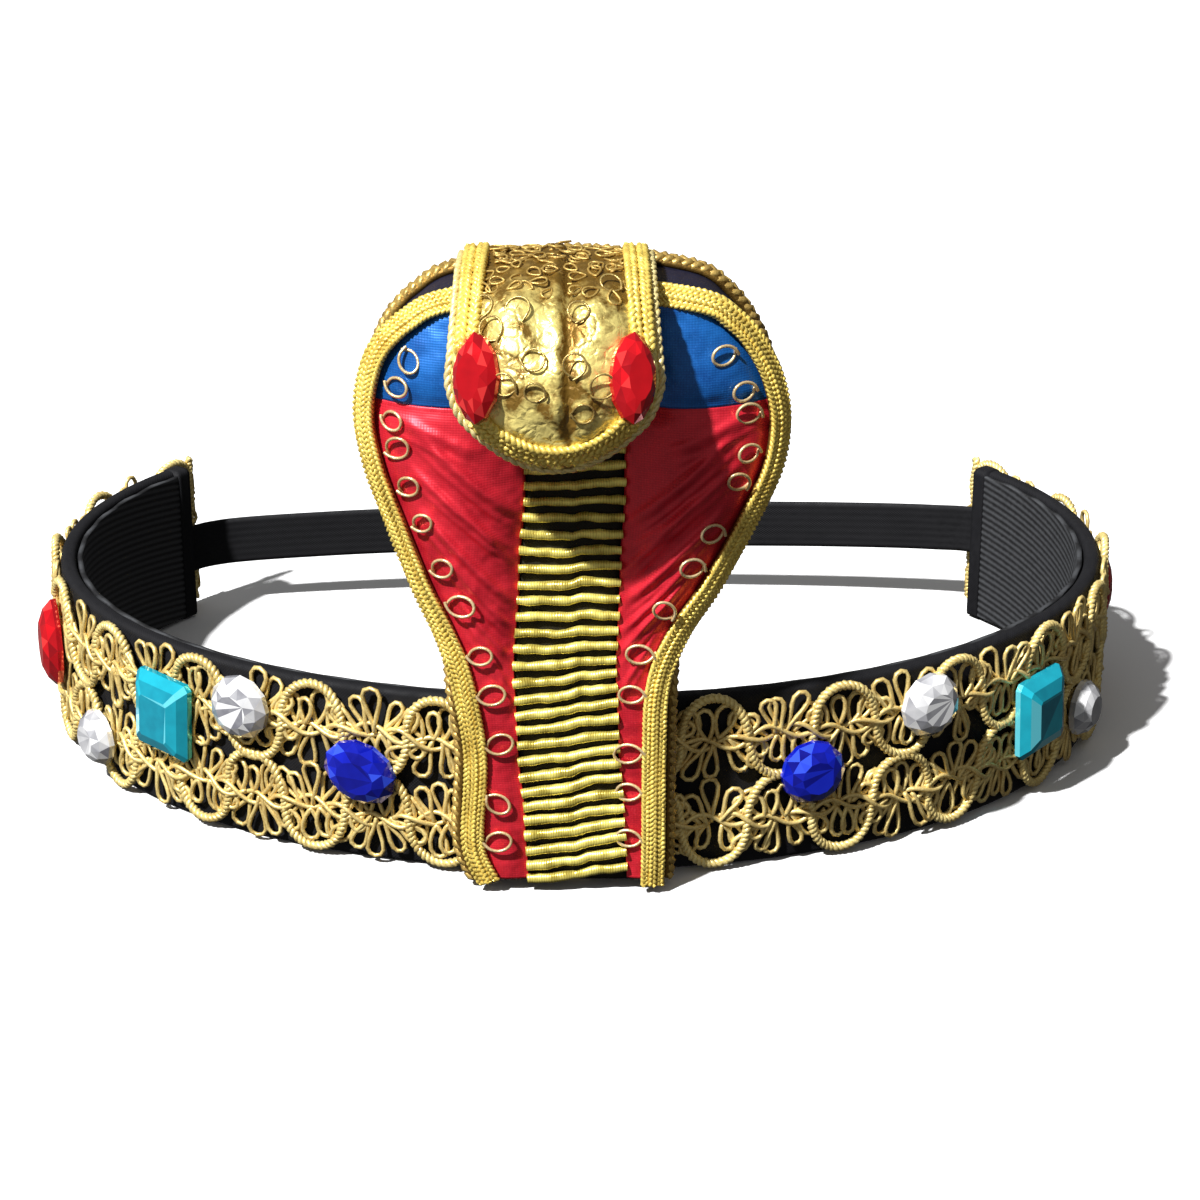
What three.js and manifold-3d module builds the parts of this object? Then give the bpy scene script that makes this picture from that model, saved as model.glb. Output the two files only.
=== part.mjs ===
// Cobra headband: a stiff fabric band with two rows of gold lace and flat-back stones, an elastic
// strap behind the head, and a padded cobra at the front.
// Millimetres, +Z up, front towards -Y, built about the centre of the band's ellipse.

import * as THREE from "three";
import { mergeVertices } from "three/addons/utils/BufferGeometryUtils.js";
import Module from "manifold-3d";

const wasm = await Module();
wasm.setup();

const seam = 0.3; // clearance between pieces that are sewn or glued together

// Band and lining
const bandHalfWidth = 86;
const bandFrontDepth = 67;
const armAngle = 122; // degrees from the front round to each end
const bandHeight = 28;
const bandWall = 2.5;
const bandSteps = 56;
const liningWall = 1;
const liningMargin = 0.6; // from the band's upper and lower edges

// Elastic strap, its ends tucked into the band's inner face
const strapWidth = 8.6;
const strapWall = 1;
const strapMiddle = { left: 10.8, right: 17 }; // it is sewn in lower on the left
const strapTuck = 8;
const strapSteps = 44;
const strapRows = [
  { side: 69.9, back: 36.9 },
  { side: 64.5, back: 39.2 },
  { side: 46, back: 42 },
  { side: 23, back: 43.6 },
  { side: 0, back: 44.2 },
];

// Lace
const laceStandOff = 0.4;
const laceWall = 1.2;
const laceCells = 28; // scrolls in a row
const laceRowHeight = 13;
const laceLowerMiddle = 7.5;
const laceUpperMiddle = 21.3;

// One scroll of lace, a cup below and a fan of three loops above: along the cell 0 to 1, up -1 to 1
const laceCup = [
  { along: 0, up: -0.5 },
  { along: 0.1, up: -0.84 },
  { along: 0.32, up: -1 },
  { along: 0.68, up: -1 },
  { along: 0.9, up: -0.84 },
  { along: 1, up: -0.5 },
];
const laceFan = [
  { along: 1, up: 0.5 },
  { along: 0.86, up: 0.8 },
  { along: 0.68, up: 0.62 },
  { along: 0.5, up: 0.92 },
  { along: 0.32, up: 0.62 },
  { along: 0.14, up: 0.8 },
  { along: 0, up: 0.5 },
];
const laceCupGap = [
  { along: 0.2, up: -0.4 },
  { along: 0.3, up: -0.76 },
  { along: 0.7, up: -0.76 },
  { along: 0.8, up: -0.4 },
  { along: 0.5, up: -0.2 },
];
const laceFanGap = [
  { along: 0.28, up: 0.08 },
  { along: 0.72, up: 0.08 },
  { along: 0.6, up: 0.46 },
  { along: 0.4, up: 0.46 },
];

// Stones on the band: place along the band from the front, height, size across and up, turn in degrees
const stoneColors = { blue: 0x1b2fd0, clear: 0xd9dde0, turquoise: 0x25b4cf, red: 0xb01426 };
const bandStones = [
  { name: "blue_stone_left", cut: "round", along: -31.9, up: 15.3, wide: 11.6, tall: 9.4, turn: -28 },
  { name: "blue_stone_right", cut: "round", along: 34.6, up: 14.9, wide: 10, tall: 10, turn: 0 },
  { name: "clear_stone_upper_left", cut: "round", along: -51.3, up: 22.4, wide: 10, tall: 10, turn: 0 },
  { name: "clear_stone_upper_right", cut: "round", along: 53.8, up: 22.2, wide: 10, tall: 10, turn: 0 },
  { name: "turquoise_stone_left", cut: "square", along: -66.2, up: 17.4, wide: 11, tall: 13, turn: -4 },
  { name: "turquoise_stone_right", cut: "square", along: 77.1, up: 14.4, wide: 11, tall: 13, turn: 4 },
  { name: "clear_stone_lower_left", cut: "round", along: -84, up: 7.6, wide: 9, tall: 9, turn: 0 },
  { name: "clear_stone_lower_right", cut: "round", along: 91.5, up: 9.8, wide: 9, tall: 9, turn: 0 },
  { name: "red_stone_left", cut: "pointed", along: -101.9, up: 17, wide: 8, tall: 15, turn: 0 },
  { name: "red_stone_right", cut: "pointed", along: 128, up: 16, wide: 8, tall: 15, turn: 0 },
];
const stonePoint = 1.25; // 1 is an ellipse, 2 a lens with sharp ends
const stoneGirdle = 0.9;
const stoneHeight = 3;

// Hood: half widths of its outline on the two sides, which hand sewing leaves unequal
const hoodRows = [
  { up: 1.2, left: 14.6, right: 12.6 },
  { up: 8, left: 16.8, right: 12.7 },
  { up: 22, left: 16.2, right: 12.7 },
  { up: 33, left: 17.7, right: 13.1 },
  { up: 41, left: 19.8, right: 15.5 },
  { up: 48, left: 22.7, right: 19.7 },
  { up: 57, left: 26, right: 24.4 },
  { up: 65, left: 28.8, right: 28 },
  { up: 72, left: 30.1, right: 29 },
  { up: 78, left: 29.5, right: 28 },
  { up: 83, left: 27.6, right: 25.7 },
  { up: 87.3, left: 23.6, right: 22.3 },
  { up: 90.6, left: 17.2, right: 16.6 },
];
const hoodTop = 92.6;
const hoodTopAside = -0.4;
const hoodBaseFront = -71.6;
const hoodForwardBow = 1.6;
const hoodSweepFrom = 8.3;
const hoodSideSweep = 0.00625; // how fast the front falls back beyond that, per mm squared
const hoodRearLow = -69; // behind the cobra, against the lace
const hoodRearHigh = -59;
const hoodRearFrom = 29;
const hoodRearTo = 44;
const hoodRearNarrow = 0.94; // share of the front's width that the back has above that height
const clothWall = 1;
const colorLine = 75.2; // red below, blue above
const panelBase = 2;
const panelTop = 86.4;

// Belly strip: its middle and half width at heights up the hood
const bellyRows = [
  { up: 1.8, middle: 0, half: 7.5 },
  { up: 12, middle: -0.45, half: 7.45 },
  { up: 24, middle: -1.3, half: 7.5 },
  { up: 36, middle: -1.7, half: 7.5 },
  { up: 50, middle: -1, half: 7.3 },
  { up: 63, middle: -0.2, half: 7.15 },
  { up: 76.5, middle: 0, half: 7 },
];
const bellyPleats = 31;
const bellyWall = 1;
const pleatHeight = 1.1;

// Braids: across the hood's face or gusset, and standing off it
const braidWide = 3.8;
const braidDeep = 2.4;
const rearBraidWide = 3;
const rearBraidDeep = 1.6;
const rearBraidBase = 1.6;
const rearBraidGap = 0.6; // clear of the hood's sloping side
const braidSides = 6;
const hoodBraidSteps = 46;
const headTrimSteps = 38;

// Head: its crown line seen from the side, half width, drop from crown to edge, and the edge's thickness
const headAside = -2.7; // the head sits a little to the left of the hood
const headRows = [
  { front: -63, up: 94.5, half: 12.6, drop: 0.5, edge: 1.1 },
  { front: -67.5, up: 95, half: 12.6, drop: 0.6, edge: 1.1 },
  { front: -72, up: 95, half: 12.7, drop: 0.8, edge: 1.1 },
  { front: -79, up: 93.7, half: 12.9, drop: 2, edge: 1.6 },
  { front: -85, up: 90.1, half: 13.3, drop: 3.6, edge: 2 },
  { front: -89.3, up: 84.4, half: 13.8, drop: 4.8, edge: 2.2 },
  { front: -91, up: 77.2, half: 13.9, drop: 5, edge: 2.2 },
  { front: -90.6, up: 69.8, half: 13.9, drop: 4.6, edge: 2.2 },
];
const headRoundFrom = 0.7; // share of the crown line at which the tip begins to round
const headStepsStraight = 11;
const headStepsRound = 8;
const headStepsAcross = 8;
const headTrimRadius = 1.05;
const eyeAlong = 0.72;
const eyeAcross = 0.72;
const eyeWide = 6.7;
const eyeTall = 12.2;
const eyeHeight = 2.8;

// Closed geometry from points and triangles, faces outwards, collapsed triangles left out
function solid(points, triangles) {
  const raw = new THREE.BufferGeometry();
  raw.setAttribute("position", new THREE.Float32BufferAttribute(points.flatMap((p) => p.toArray()), 3));
  raw.setIndex(triangles.flat());
  const merged = mergeVertices(raw, 1e-3);
  const at = (i) => new THREE.Vector3().fromBufferAttribute(merged.attributes.position, i);
  const index = merged.index.array;
  const kept = [];
  let volume = 0;
  for (let i = 0; i < index.length; i += 3) {
    const [a, b, c] = [index[i], index[i + 1], index[i + 2]];
    if (a === b || b === c || c === a) continue;
    kept.push([a, b, c]);
    volume += at(a).dot(at(b).cross(at(c)));
  }
  merged.setIndex(kept.flatMap(([a, b, c]) => (volume > 0 ? [a, b, c] : [a, c, b])));
  merged.computeVertexNormals();
  return merged;
}

// A wall between two surfaces, each given as a function of u and v from 0 to 1
function wall(uSteps, vSteps, front, back) {
  const points = [];
  const triangles = [];
  const row = vSteps + 1;
  const layer = (uSteps + 1) * row;
  for (const surface of [front, back]) {
    for (let i = 0; i <= uSteps; i++) {
      for (let j = 0; j <= vSteps; j++) points.push(surface(i / uSteps, j / vSteps));
    }
  }
  const quad = (a, b, c, d) => triangles.push([a, b, c], [a, c, d]);
  for (let i = 0; i < uSteps; i++) {
    for (let j = 0; j < vSteps; j++) {
      const a = i * row + j;
      quad(a, a + row, a + row + 1, a + 1);
      quad(layer + a, layer + a + 1, layer + a + row + 1, layer + a + row);
    }
    const left = i * row;
    const right = left + vSteps;
    quad(left, layer + left, layer + left + row, left + row);
    quad(right, right + row, layer + right + row, layer + right);
  }
  for (let j = 0; j < vSteps; j++) {
    const last = uSteps * row + j;
    quad(j, j + 1, layer + j + 1, layer + j);
    quad(last, layer + last, layer + last + 1, last + 1);
  }
  return solid(points, triangles);
}

// A cord or braid with an oval section along a curve, its depth along the direction given at the start
function braid(points, wide, deep, deepWay, steps) {
  const extrudePath = new THREE.CatmullRomCurve3(points);
  const { normals, binormals } = extrudePath.computeFrenetFrames(steps, false);
  const lean = Math.atan2(deepWay.dot(binormals[0]), deepWay.dot(normals[0]));
  const outline = [];
  for (let i = 0; i < braidSides; i++) {
    const angle = (i / braidSides) * 2 * Math.PI;
    const place = new THREE.Vector2((Math.cos(angle) * deep) / 2, (Math.sin(angle) * wide) / 2);
    outline.push(place.rotateAround(new THREE.Vector2(), lean));
  }
  return new THREE.ExtrudeGeometry(new THREE.Shape(outline), { extrudePath, steps, curveSegments: 1 });
}

// Boolean cut of one closed geometry from another
function toManifold(geometry) {
  const merged = mergeVertices(geometry.clone().deleteAttribute("normal").deleteAttribute("uv"), 1e-3);
  const vertProperties = new Float32Array(merged.attributes.position.array);
  const triVerts = new Uint32Array(merged.index.array);
  return new wasm.Manifold(new wasm.Mesh({ numProp: 3, vertProperties, triVerts }));
}
function cutAway(body, tools) {
  let result = toManifold(body);
  for (const tool of tools) result = result.subtract(toManifold(tool));
  const mesh = result.getMesh();
  const cut = new THREE.BufferGeometry();
  cut.setAttribute("position", new THREE.Float32BufferAttribute(mesh.vertProperties, 3));
  cut.setIndex(new THREE.Uint32BufferAttribute(mesh.triVerts, 1));
  cut.computeVertexNormals();
  return cut;
}

// Places on the band, by length from the front centre (right is plus), distance outwards and height
const bandStart = THREE.MathUtils.degToRad(-90 - armAngle);
const bandEnd = THREE.MathUtils.degToRad(-90 + armAngle);
const bandCurve = new THREE.EllipseCurve(0, 0, bandHalfWidth, bandFrontDepth, bandStart, bandEnd, false, 0);
const bandLength = bandCurve.getLength();

function bandFrame(along) {
  const share = along / bandLength + 0.5;
  const held = THREE.MathUtils.clamp(share, 0, 1);
  const tangent = bandCurve.getTangentAt(held);
  const place = bandCurve.getPointAt(held).addScaledVector(tangent, (share - held) * bandLength);
  return { place, tangent, outward: new THREE.Vector2(tangent.y, -tangent.x) };
}
function bandPoint(along, outwards, up) {
  const { place, outward } = bandFrame(along);
  return new THREE.Vector3(place.x + outward.x * outwards, place.y + outward.y * outwards, up);
}
function bandWallPiece(from, to, steps, outer, inner, low, high) {
  const at = (u) => THREE.MathUtils.lerp(from, to, u);
  const height = (v) => THREE.MathUtils.lerp(low, high, v);
  return wall(
    steps,
    1,
    (u, v) => bandPoint(at(u), outer, height(v)),
    (u, v) => bandPoint(at(u), inner, height(v)),
  );
}

const half = bandLength / 2;
const pocketReach = strapWidth / 2 + seam;
const pocketFloor = -bandWall + strapWall + seam;
const pockets = [-1, 1].map((side) => {
  const inside = side * (half - strapTuck - seam);
  const middle = side < 0 ? strapMiddle.left : strapMiddle.right;
  const [low, high] = [middle - pocketReach, middle + pocketReach];
  return bandWallPiece(inside, side * (half + 2), 8, pocketFloor, -bandWall - 2, low, high);
});
const bandBody = cutAway(bandWallPiece(-half, half, bandSteps, 0, -bandWall, 0, bandHeight), pockets);
const liningOuter = -bandWall - seam;
const liningBody = bandWallPiece(
  -half,
  half,
  bandSteps,
  liningOuter,
  liningOuter - liningWall,
  liningMargin,
  bandHeight - liningMargin,
);

// Elastic strap
function strapBody() {
  const depth = -bandWall + strapWall / 2;
  const tucked = [strapTuck, strapTuck / 2, 0.6].map((inside) => bandPoint(-half + inside, depth, 0));
  const free = strapRows.map((row) => new THREE.Vector3(-row.side, row.back, 0));
  const left = [...tucked, ...free.slice(0, -1)];
  const right = left.map((p) => new THREE.Vector3(-p.x, p.y, 0)).reverse();
  const path = new THREE.CatmullRomCurve3([...left, free[free.length - 1], ...right]);
  const side = (offset) => (u, v) => {
    const place = path.getPointAt(u);
    const tangent = path.getTangentAt(u);
    const up = THREE.MathUtils.lerp(strapMiddle.left, strapMiddle.right, u) + (v - 0.5) * strapWidth;
    return new THREE.Vector3(place.x - tangent.y * offset, place.y + tangent.x * offset, up);
  };
  return wall(strapSteps, 1, side(strapWall / 2), side(-strapWall / 2));
}

// A row of lace: scrolls that turn over from cell to cell, each with two gaps
function laceRow(middle, firstTurn) {
  const points = [];
  const triangles = [];
  const inner = laceStandOff;
  const outer = laceStandOff + laceWall;
  const cellLength = bandLength / laceCells;
  const addCell = (cell) => {
    const turn = (cell + firstTurn) % 2 === 0 ? 1 : -1;
    const flat = (rows) => rows.map((row) => new THREE.Vector2(row.along, row.up * turn));
    const contour = flat([...laceCup, ...laceFan]);
    const gaps = [flat(laceCupGap), flat(laceFanGap)];
    if (THREE.ShapeUtils.isClockWise(contour)) contour.reverse();
    for (const gap of gaps) if (!THREE.ShapeUtils.isClockWise(gap)) gap.reverse();
    const all = [contour, ...gaps].flat();
    const first = points.length;
    for (const outwards of [outer, inner]) {
      for (const p of all) {
        const along = -half + (cell + p.x) * cellLength;
        points.push(bandPoint(along, outwards, middle + (p.y * laceRowHeight) / 2));
      }
    }
    const back = all.length;
    for (const [a, b, c] of THREE.ShapeUtils.triangulateShape(contour, gaps)) {
      const turned = all[b].clone().sub(all[a]).cross(all[c].clone().sub(all[a])) < 0;
      const [p, q] = turned ? [c, b] : [b, c];
      const rear = first + back;
      triangles.push([first + a, first + p, first + q]);
      triangles.push([rear + a, rear + q, rear + p]);
    }
    let start = first;
    for (const ring of [contour, ...gaps]) {
      ring.forEach((p, i) => {
        const next = (i + 1) % ring.length;
        const shared = p.x === ring[next].x && (p.x === 0 ? cell > 0 : p.x === 1 && cell < laceCells - 1);
        if (shared) return;
        const [a, b] = [start + i, start + next];
        triangles.push([a + back, b + back, b], [a + back, b, a]);
      });
      start += ring.length;
    }
  };
  for (let cell = 0; cell < laceCells; cell++) addCell(cell);
  return solid(points, triangles);
}

// Outlines of the cut stones at a share of a turn, and how far each ring of facets turns
const cuts = {
  round: {
    sides: 12,
    turn: 0.5,
    outline: (share) => new THREE.Vector2(Math.cos(share * 2 * Math.PI), Math.sin(share * 2 * Math.PI)),
  },
  pointed: {
    sides: 12,
    turn: 0.5,
    outline: (share) => {
      const angle = share * 2 * Math.PI;
      const across = Math.cos(angle);
      return new THREE.Vector2(Math.sign(across) * Math.abs(across) ** stonePoint, Math.sin(angle));
    },
  },
  square: {
    sides: 8,
    turn: 0,
    outline: (share) => {
      const corner = Math.floor(share * 4 + 1e-6);
      const second = Math.round(share * 8) % 2 === 1;
      const place = second ? new THREE.Vector2(0.86, 1) : new THREE.Vector2(1, 0.86);
      return place.rotateAround(new THREE.Vector2(), corner * 0.5 * Math.PI);
    },
  },
};

// A flat-backed stone: girdle, two rings of facets and a table
function cutStone(cut, wide, tall, height) {
  const { sides, turn, outline } = cuts[cut];
  const rings = [
    { size: 1, up: 0, step: 0 },
    { size: 1, up: stoneGirdle, step: 0 },
    { size: 0.8, up: THREE.MathUtils.lerp(stoneGirdle, height, 0.62), step: turn },
    { size: 0.52, up: height, step: 2 * turn },
  ];
  const points = [];
  const triangles = [];
  for (const ring of rings) {
    for (let i = 0; i < sides; i++) {
      const p = outline(((i + ring.step) / sides) % 1);
      points.push(new THREE.Vector3((p.x * wide * ring.size) / 2, (p.y * tall * ring.size) / 2, ring.up));
    }
  }
  for (let k = 0; k + 1 < rings.length; k++) {
    for (let i = 0; i < sides; i++) {
      const next = (i + 1) % sides;
      const [a, b] = [k * sides + i, k * sides + next];
      triangles.push([a, b, a + sides], [a + sides, b, b + sides]);
    }
  }
  const last = (rings.length - 1) * sides;
  for (let i = 1; i + 1 < sides; i++) {
    triangles.push([0, i + 1, i], [last, last + i, last + i + 1]);
  }
  return solid(points, triangles);
}

// A stone set with its back at a place, its width along one direction and its table facing another
function setStone(stone, place, along, facing, turn) {
  const across = along.clone().normalize();
  const out = facing.clone().normalize();
  const up = out.clone().cross(across);
  const basis = new THREE.Matrix4().makeBasis(across, up, out);
  stone.rotateZ(THREE.MathUtils.degToRad(turn));
  stone.applyMatrix4(basis.setPosition(place));
  return stone;
}
function bandStone(row) {
  const { tangent, outward } = bandFrame(row.along);
  const place = bandPoint(row.along, laceStandOff + laceWall + seam, row.up);
  const along = new THREE.Vector3(tangent.x, tangent.y, 0);
  const facing = new THREE.Vector3(outward.x, outward.y, 0);
  return setStone(cutStone(row.cut, row.wide, row.tall, stoneHeight), place, along, facing, row.turn);
}

// Hood outline, from the base on the right over the top to the base on the left, and its two faces
const hoodRight = hoodRows.map((row) => new THREE.Vector2(row.right, row.up));
const hoodLeft = hoodRows.map((row) => new THREE.Vector2(-row.left, row.up)).reverse();
const hoodOutline = new THREE.SplineCurve([...hoodRight, new THREE.Vector2(hoodTopAside, hoodTop), ...hoodLeft]);

function hoodEdge(share, inset) {
  const tangent = hoodOutline.getTangent(share);
  const edge = hoodOutline.getPoint(share);
  return edge.sub(new THREE.Vector2(tangent.y, -tangent.x).multiplyScalar(inset));
}
function hoodFront(x, up) {
  const beyond = Math.max(0, Math.abs(x) - hoodSweepFrom);
  const bow = hoodForwardBow * Math.sin((Math.PI * up) / hoodTop);
  return hoodBaseFront - bow + hoodSideSweep * beyond * beyond;
}
function hoodRear(up) {
  const rise = THREE.MathUtils.smoothstep(up, hoodRearFrom, hoodRearTo);
  const narrow = THREE.MathUtils.lerp(1, hoodRearNarrow, rise);
  return { back: THREE.MathUtils.lerp(hoodRearLow, hoodRearHigh, rise), narrow };
}
// The outline on one side, by its share from that side's base to the top, and the share at a height
function hoodSide(side, share, inset) {
  return hoodEdge(side > 0 ? share : 1 - share, inset);
}
function hoodShareAt(side, up, inset) {
  let [low, high] = [0, 0.5];
  for (let i = 0; i < 40; i++) {
    const middle = (low + high) / 2;
    if (hoodSide(side, middle, inset).y < up) low = middle;
    else high = middle;
  }
  return low;
}
const onFront = (x, up, off) => new THREE.Vector3(x, hoodFront(x, up) - off, up);

function hoodPadBody() {
  const place = (u, v) => {
    const [left, right] = [-1, 1].map((side) => hoodSide(side, u / 2, 0));
    return { x: THREE.MathUtils.lerp(left.x, right.x, v), up: right.y };
  };
  return wall(
    26,
    6,
    (u, v) => {
      const { x, up } = place(u, v);
      return onFront(x, up, 0);
    },
    (u, v) => {
      const { x, up } = place(u, v);
      const { back, narrow } = hoodRear(up);
      return new THREE.Vector3(x * narrow, back, up);
    },
  );
}

// Cloth on one side of the hood, between the belly strip and the braid
function bellyAt(up) {
  const last = bellyRows.length - 1;
  const next = Math.max(1, bellyRows.findIndex((row, i) => i === last || up < row.up));
  const [from, to] = [bellyRows[next - 1], bellyRows[next]];
  const share = THREE.MathUtils.smoothstep(up, from.up, to.up);
  return {
    middle: THREE.MathUtils.lerp(from.middle, to.middle, share),
    half: THREE.MathUtils.lerp(from.half, to.half, share),
  };
}
function hoodCloth(side, low, high, steps) {
  const inset = braidWide + seam;
  const surface = (off) => (u, v) => {
    const up = THREE.MathUtils.lerp(low, high, u);
    const { middle, half: bellyHalf } = bellyAt(up);
    const inner = middle + side * (bellyHalf + seam);
    const outer = hoodSide(side, hoodShareAt(side, up, inset), inset).x;
    return onFront(THREE.MathUtils.lerp(inner, outer, v), up, off);
  };
  return wall(steps, 4, surface(seam + clothWall), surface(seam));
}

// Belly strip with a rounded pleat on every pitch
function bellyBody() {
  const place = (u, v) => {
    const up = THREE.MathUtils.lerp(bellyRows[0].up, bellyRows[bellyRows.length - 1].up, u);
    const { middle, half: bellyHalf } = bellyAt(up);
    return { up, x: middle + bellyHalf * (2 * v - 1) };
  };
  const ridge = (u) => pleatHeight * Math.sin(Math.PI * u * bellyPleats) ** 2;
  return wall(
    bellyPleats * 3,
    1,
    (u, v) => {
      const { up, x } = place(u, v);
      return onFront(x, up, seam + bellyWall + ridge(u));
    },
    (u, v) => {
      const { up, x } = place(u, v);
      return onFront(x, up, seam);
    },
  );
}

// Braids round the hood
function hoodBraidBody() {
  const points = [];
  for (let i = 0; i <= 40; i++) {
    const edge = hoodEdge(i / 40, braidWide / 2);
    points.push(onFront(edge.x, edge.y, seam + braidDeep / 2));
  }
  return braid(points, braidWide, braidDeep, new THREE.Vector3(0, 1, 0), hoodBraidSteps);
}
function hoodRearBraidBody() {
  const from = hoodShareAt(1, rearBraidBase, 0);
  const points = [];
  for (let i = 0; i <= 40; i++) {
    const share = THREE.MathUtils.lerp(from, 1 - from, i / 40);
    const edge = hoodEdge(share, 0);
    const out = hoodEdge(share, -rearBraidGap - rearBraidDeep / 2).sub(edge);
    const { back, narrow } = hoodRear(edge.y);
    points.push(new THREE.Vector3(edge.x * narrow + out.x, back - rearBraidWide / 2, edge.y + out.y));
  }
  return braid(points, rearBraidDeep, rearBraidWide, new THREE.Vector3(0, 1, 0), hoodBraidSteps);
}

// Head: a domed tongue along its crown line, rounded at the tip
const crown = new THREE.CatmullRomCurve3(headRows.map((row) => new THREE.Vector3(0, row.front, row.up)));

function headFrame(share) {
  const at = share * (headRows.length - 1);
  const row = Math.min(Math.floor(at), headRows.length - 2);
  const between = (key) => THREE.MathUtils.lerp(headRows[row][key], headRows[row + 1][key], at - row);
  const tangent = crown.getTangent(share);
  const outward = new THREE.Vector3(0, tangent.z, -tangent.y);
  const [half, drop, edge] = ["half", "drop", "edge"].map(between);
  return { place: crown.getPoint(share), tangent, outward, half, drop, edge };
}
function headRow(step) {
  if (step <= headStepsStraight) {
    return { share: (headRoundFrom * step) / headStepsStraight, taper: 1, slope: 0 };
  }
  const angle = ((step - headStepsStraight) / headStepsRound) * (Math.PI / 2);
  const share = headRoundFrom + (1 - headRoundFrom) * Math.sin(angle);
  return { share, taper: Math.max(Math.cos(angle), 0), slope: Math.sin(angle) };
}
function headPoint(share, taper, across, depth) {
  const { place, outward, half, drop } = headFrame(share);
  const fall = drop * (1 - taper * taper * (1 - across * across)) + depth;
  place.x = headAside + half * taper * across;
  return place.addScaledVector(outward, -fall);
}
const headSteps = headStepsStraight + headStepsRound;

function headBody() {
  const surface = (depthOf) => (u, v) => {
    const { share, taper } = headRow(Math.round(u * headSteps));
    const across = 2 * v - 1;
    return headPoint(share, taper, across, depthOf(share, taper, across));
  };
  const back = (share, taper, across) => {
    const { drop, edge } = headFrame(share);
    return edge + drop * taper * taper * (1 - across * across);
  };
  return wall(headSteps, headStepsAcross, surface(() => 0), surface(back));
}

// Cord round the head's edge, from one end behind round the tip to the other
function headTrimBody() {
  const stand = headTrimRadius + seam;
  const side = [];
  for (let step = 0; step <= headSteps; step++) {
    const { share, taper, slope } = headRow(step);
    const { tangent, edge } = headFrame(share);
    const place = headPoint(share, taper, 1, edge / 2);
    place.x += stand * taper;
    side.push(place.addScaledVector(tangent, stand * slope));
  }
  const mirrored = (p) => new THREE.Vector3(2 * headAside - p.x, p.y, p.z);
  const other = side.slice(0, -1).map(mirrored).reverse();
  const thick = headTrimRadius * 2;
  return braid([...side, ...other], thick, thick, new THREE.Vector3(1, 0, 0), headTrimSteps);
}

function eyeBody(side) {
  const step = 0.01;
  const place = headPoint(eyeAlong, 1, side * eyeAcross, 0);
  const along = headPoint(eyeAlong, 1, side * eyeAcross + step, 0).sub(place);
  const down = headPoint(eyeAlong + step, 1, side * eyeAcross, 0).sub(place);
  const facing = down.clone().cross(along).normalize();
  const seat = place.clone().addScaledVector(facing, seam);
  return setStone(cutStone("pointed", eyeWide, eyeTall, eyeHeight), seat, along, facing, 0);
}

// Assembly
const headband = new THREE.Group();
headband.name = "cobra_headband";

function add(name, geometry, color, roughness, metalness) {
  const piece = new THREE.Mesh(geometry, new THREE.MeshStandardMaterial({ color, roughness, metalness }));
  piece.name = name;
  headband.add(piece);
}

add("band", bandBody, 0x14131a, 0.9, 0);
add("band_lining", liningBody, 0x2b2c30, 0.85, 0);
add("elastic_strap", strapBody(), 0x101014, 0.9, 0);
add("lace_lower", laceRow(laceLowerMiddle, 0), 0xb98d1c, 0.4, 0.7);
add("lace_upper", laceRow(laceUpperMiddle, 1), 0xb98d1c, 0.4, 0.7);
for (const row of bandStones) {
  const [color] = row.name.split("_");
  add(row.name, bandStone(row), stoneColors[color], 0.1, 0.1);
}
add("hood_pad", hoodPadBody(), 0x12142a, 0.8, 0);
add("hood_red_right", hoodCloth(1, panelBase, colorLine - seam / 2, 16), 0xa3122a, 0.4, 0.5);
add("hood_red_left", hoodCloth(-1, panelBase, colorLine - seam / 2, 16), 0xa3122a, 0.4, 0.5);
add("hood_blue_right", hoodCloth(1, colorLine + seam / 2, panelTop, 5), 0x1560b4, 0.4, 0.5);
add("hood_blue_left", hoodCloth(-1, colorLine + seam / 2, panelTop, 5), 0x1560b4, 0.4, 0.5);
add("belly_strip", bellyBody(), 0xa8862a, 0.35, 0.8);
add("hood_braid", hoodBraidBody(), 0xc79a22, 0.4, 0.7);
add("hood_rear_braid", hoodRearBraidBody(), 0xb08a24, 0.4, 0.7);
add("head_pad", headBody(), 0xc49a2c, 0.3, 0.8);
add("head_trim", headTrimBody(), 0xd6ae3c, 0.35, 0.7);
add("eye_left", eyeBody(-1), stoneColors.red, 0.1, 0.1);
add("eye_right", eyeBody(1), stoneColors.red, 0.1, 0.1);

// The footprint's centre is the origin and the band's lower edge stands at zero height
const box = new THREE.Box3().setFromObject(headband);
const centre = box.getCenter(new THREE.Vector3());
headband.position.set(-centre.x, -centre.y, -box.min.z);

export default headband;
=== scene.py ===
import bisect
import math
import random

import bmesh
import bpy
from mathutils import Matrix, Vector, noise


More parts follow.
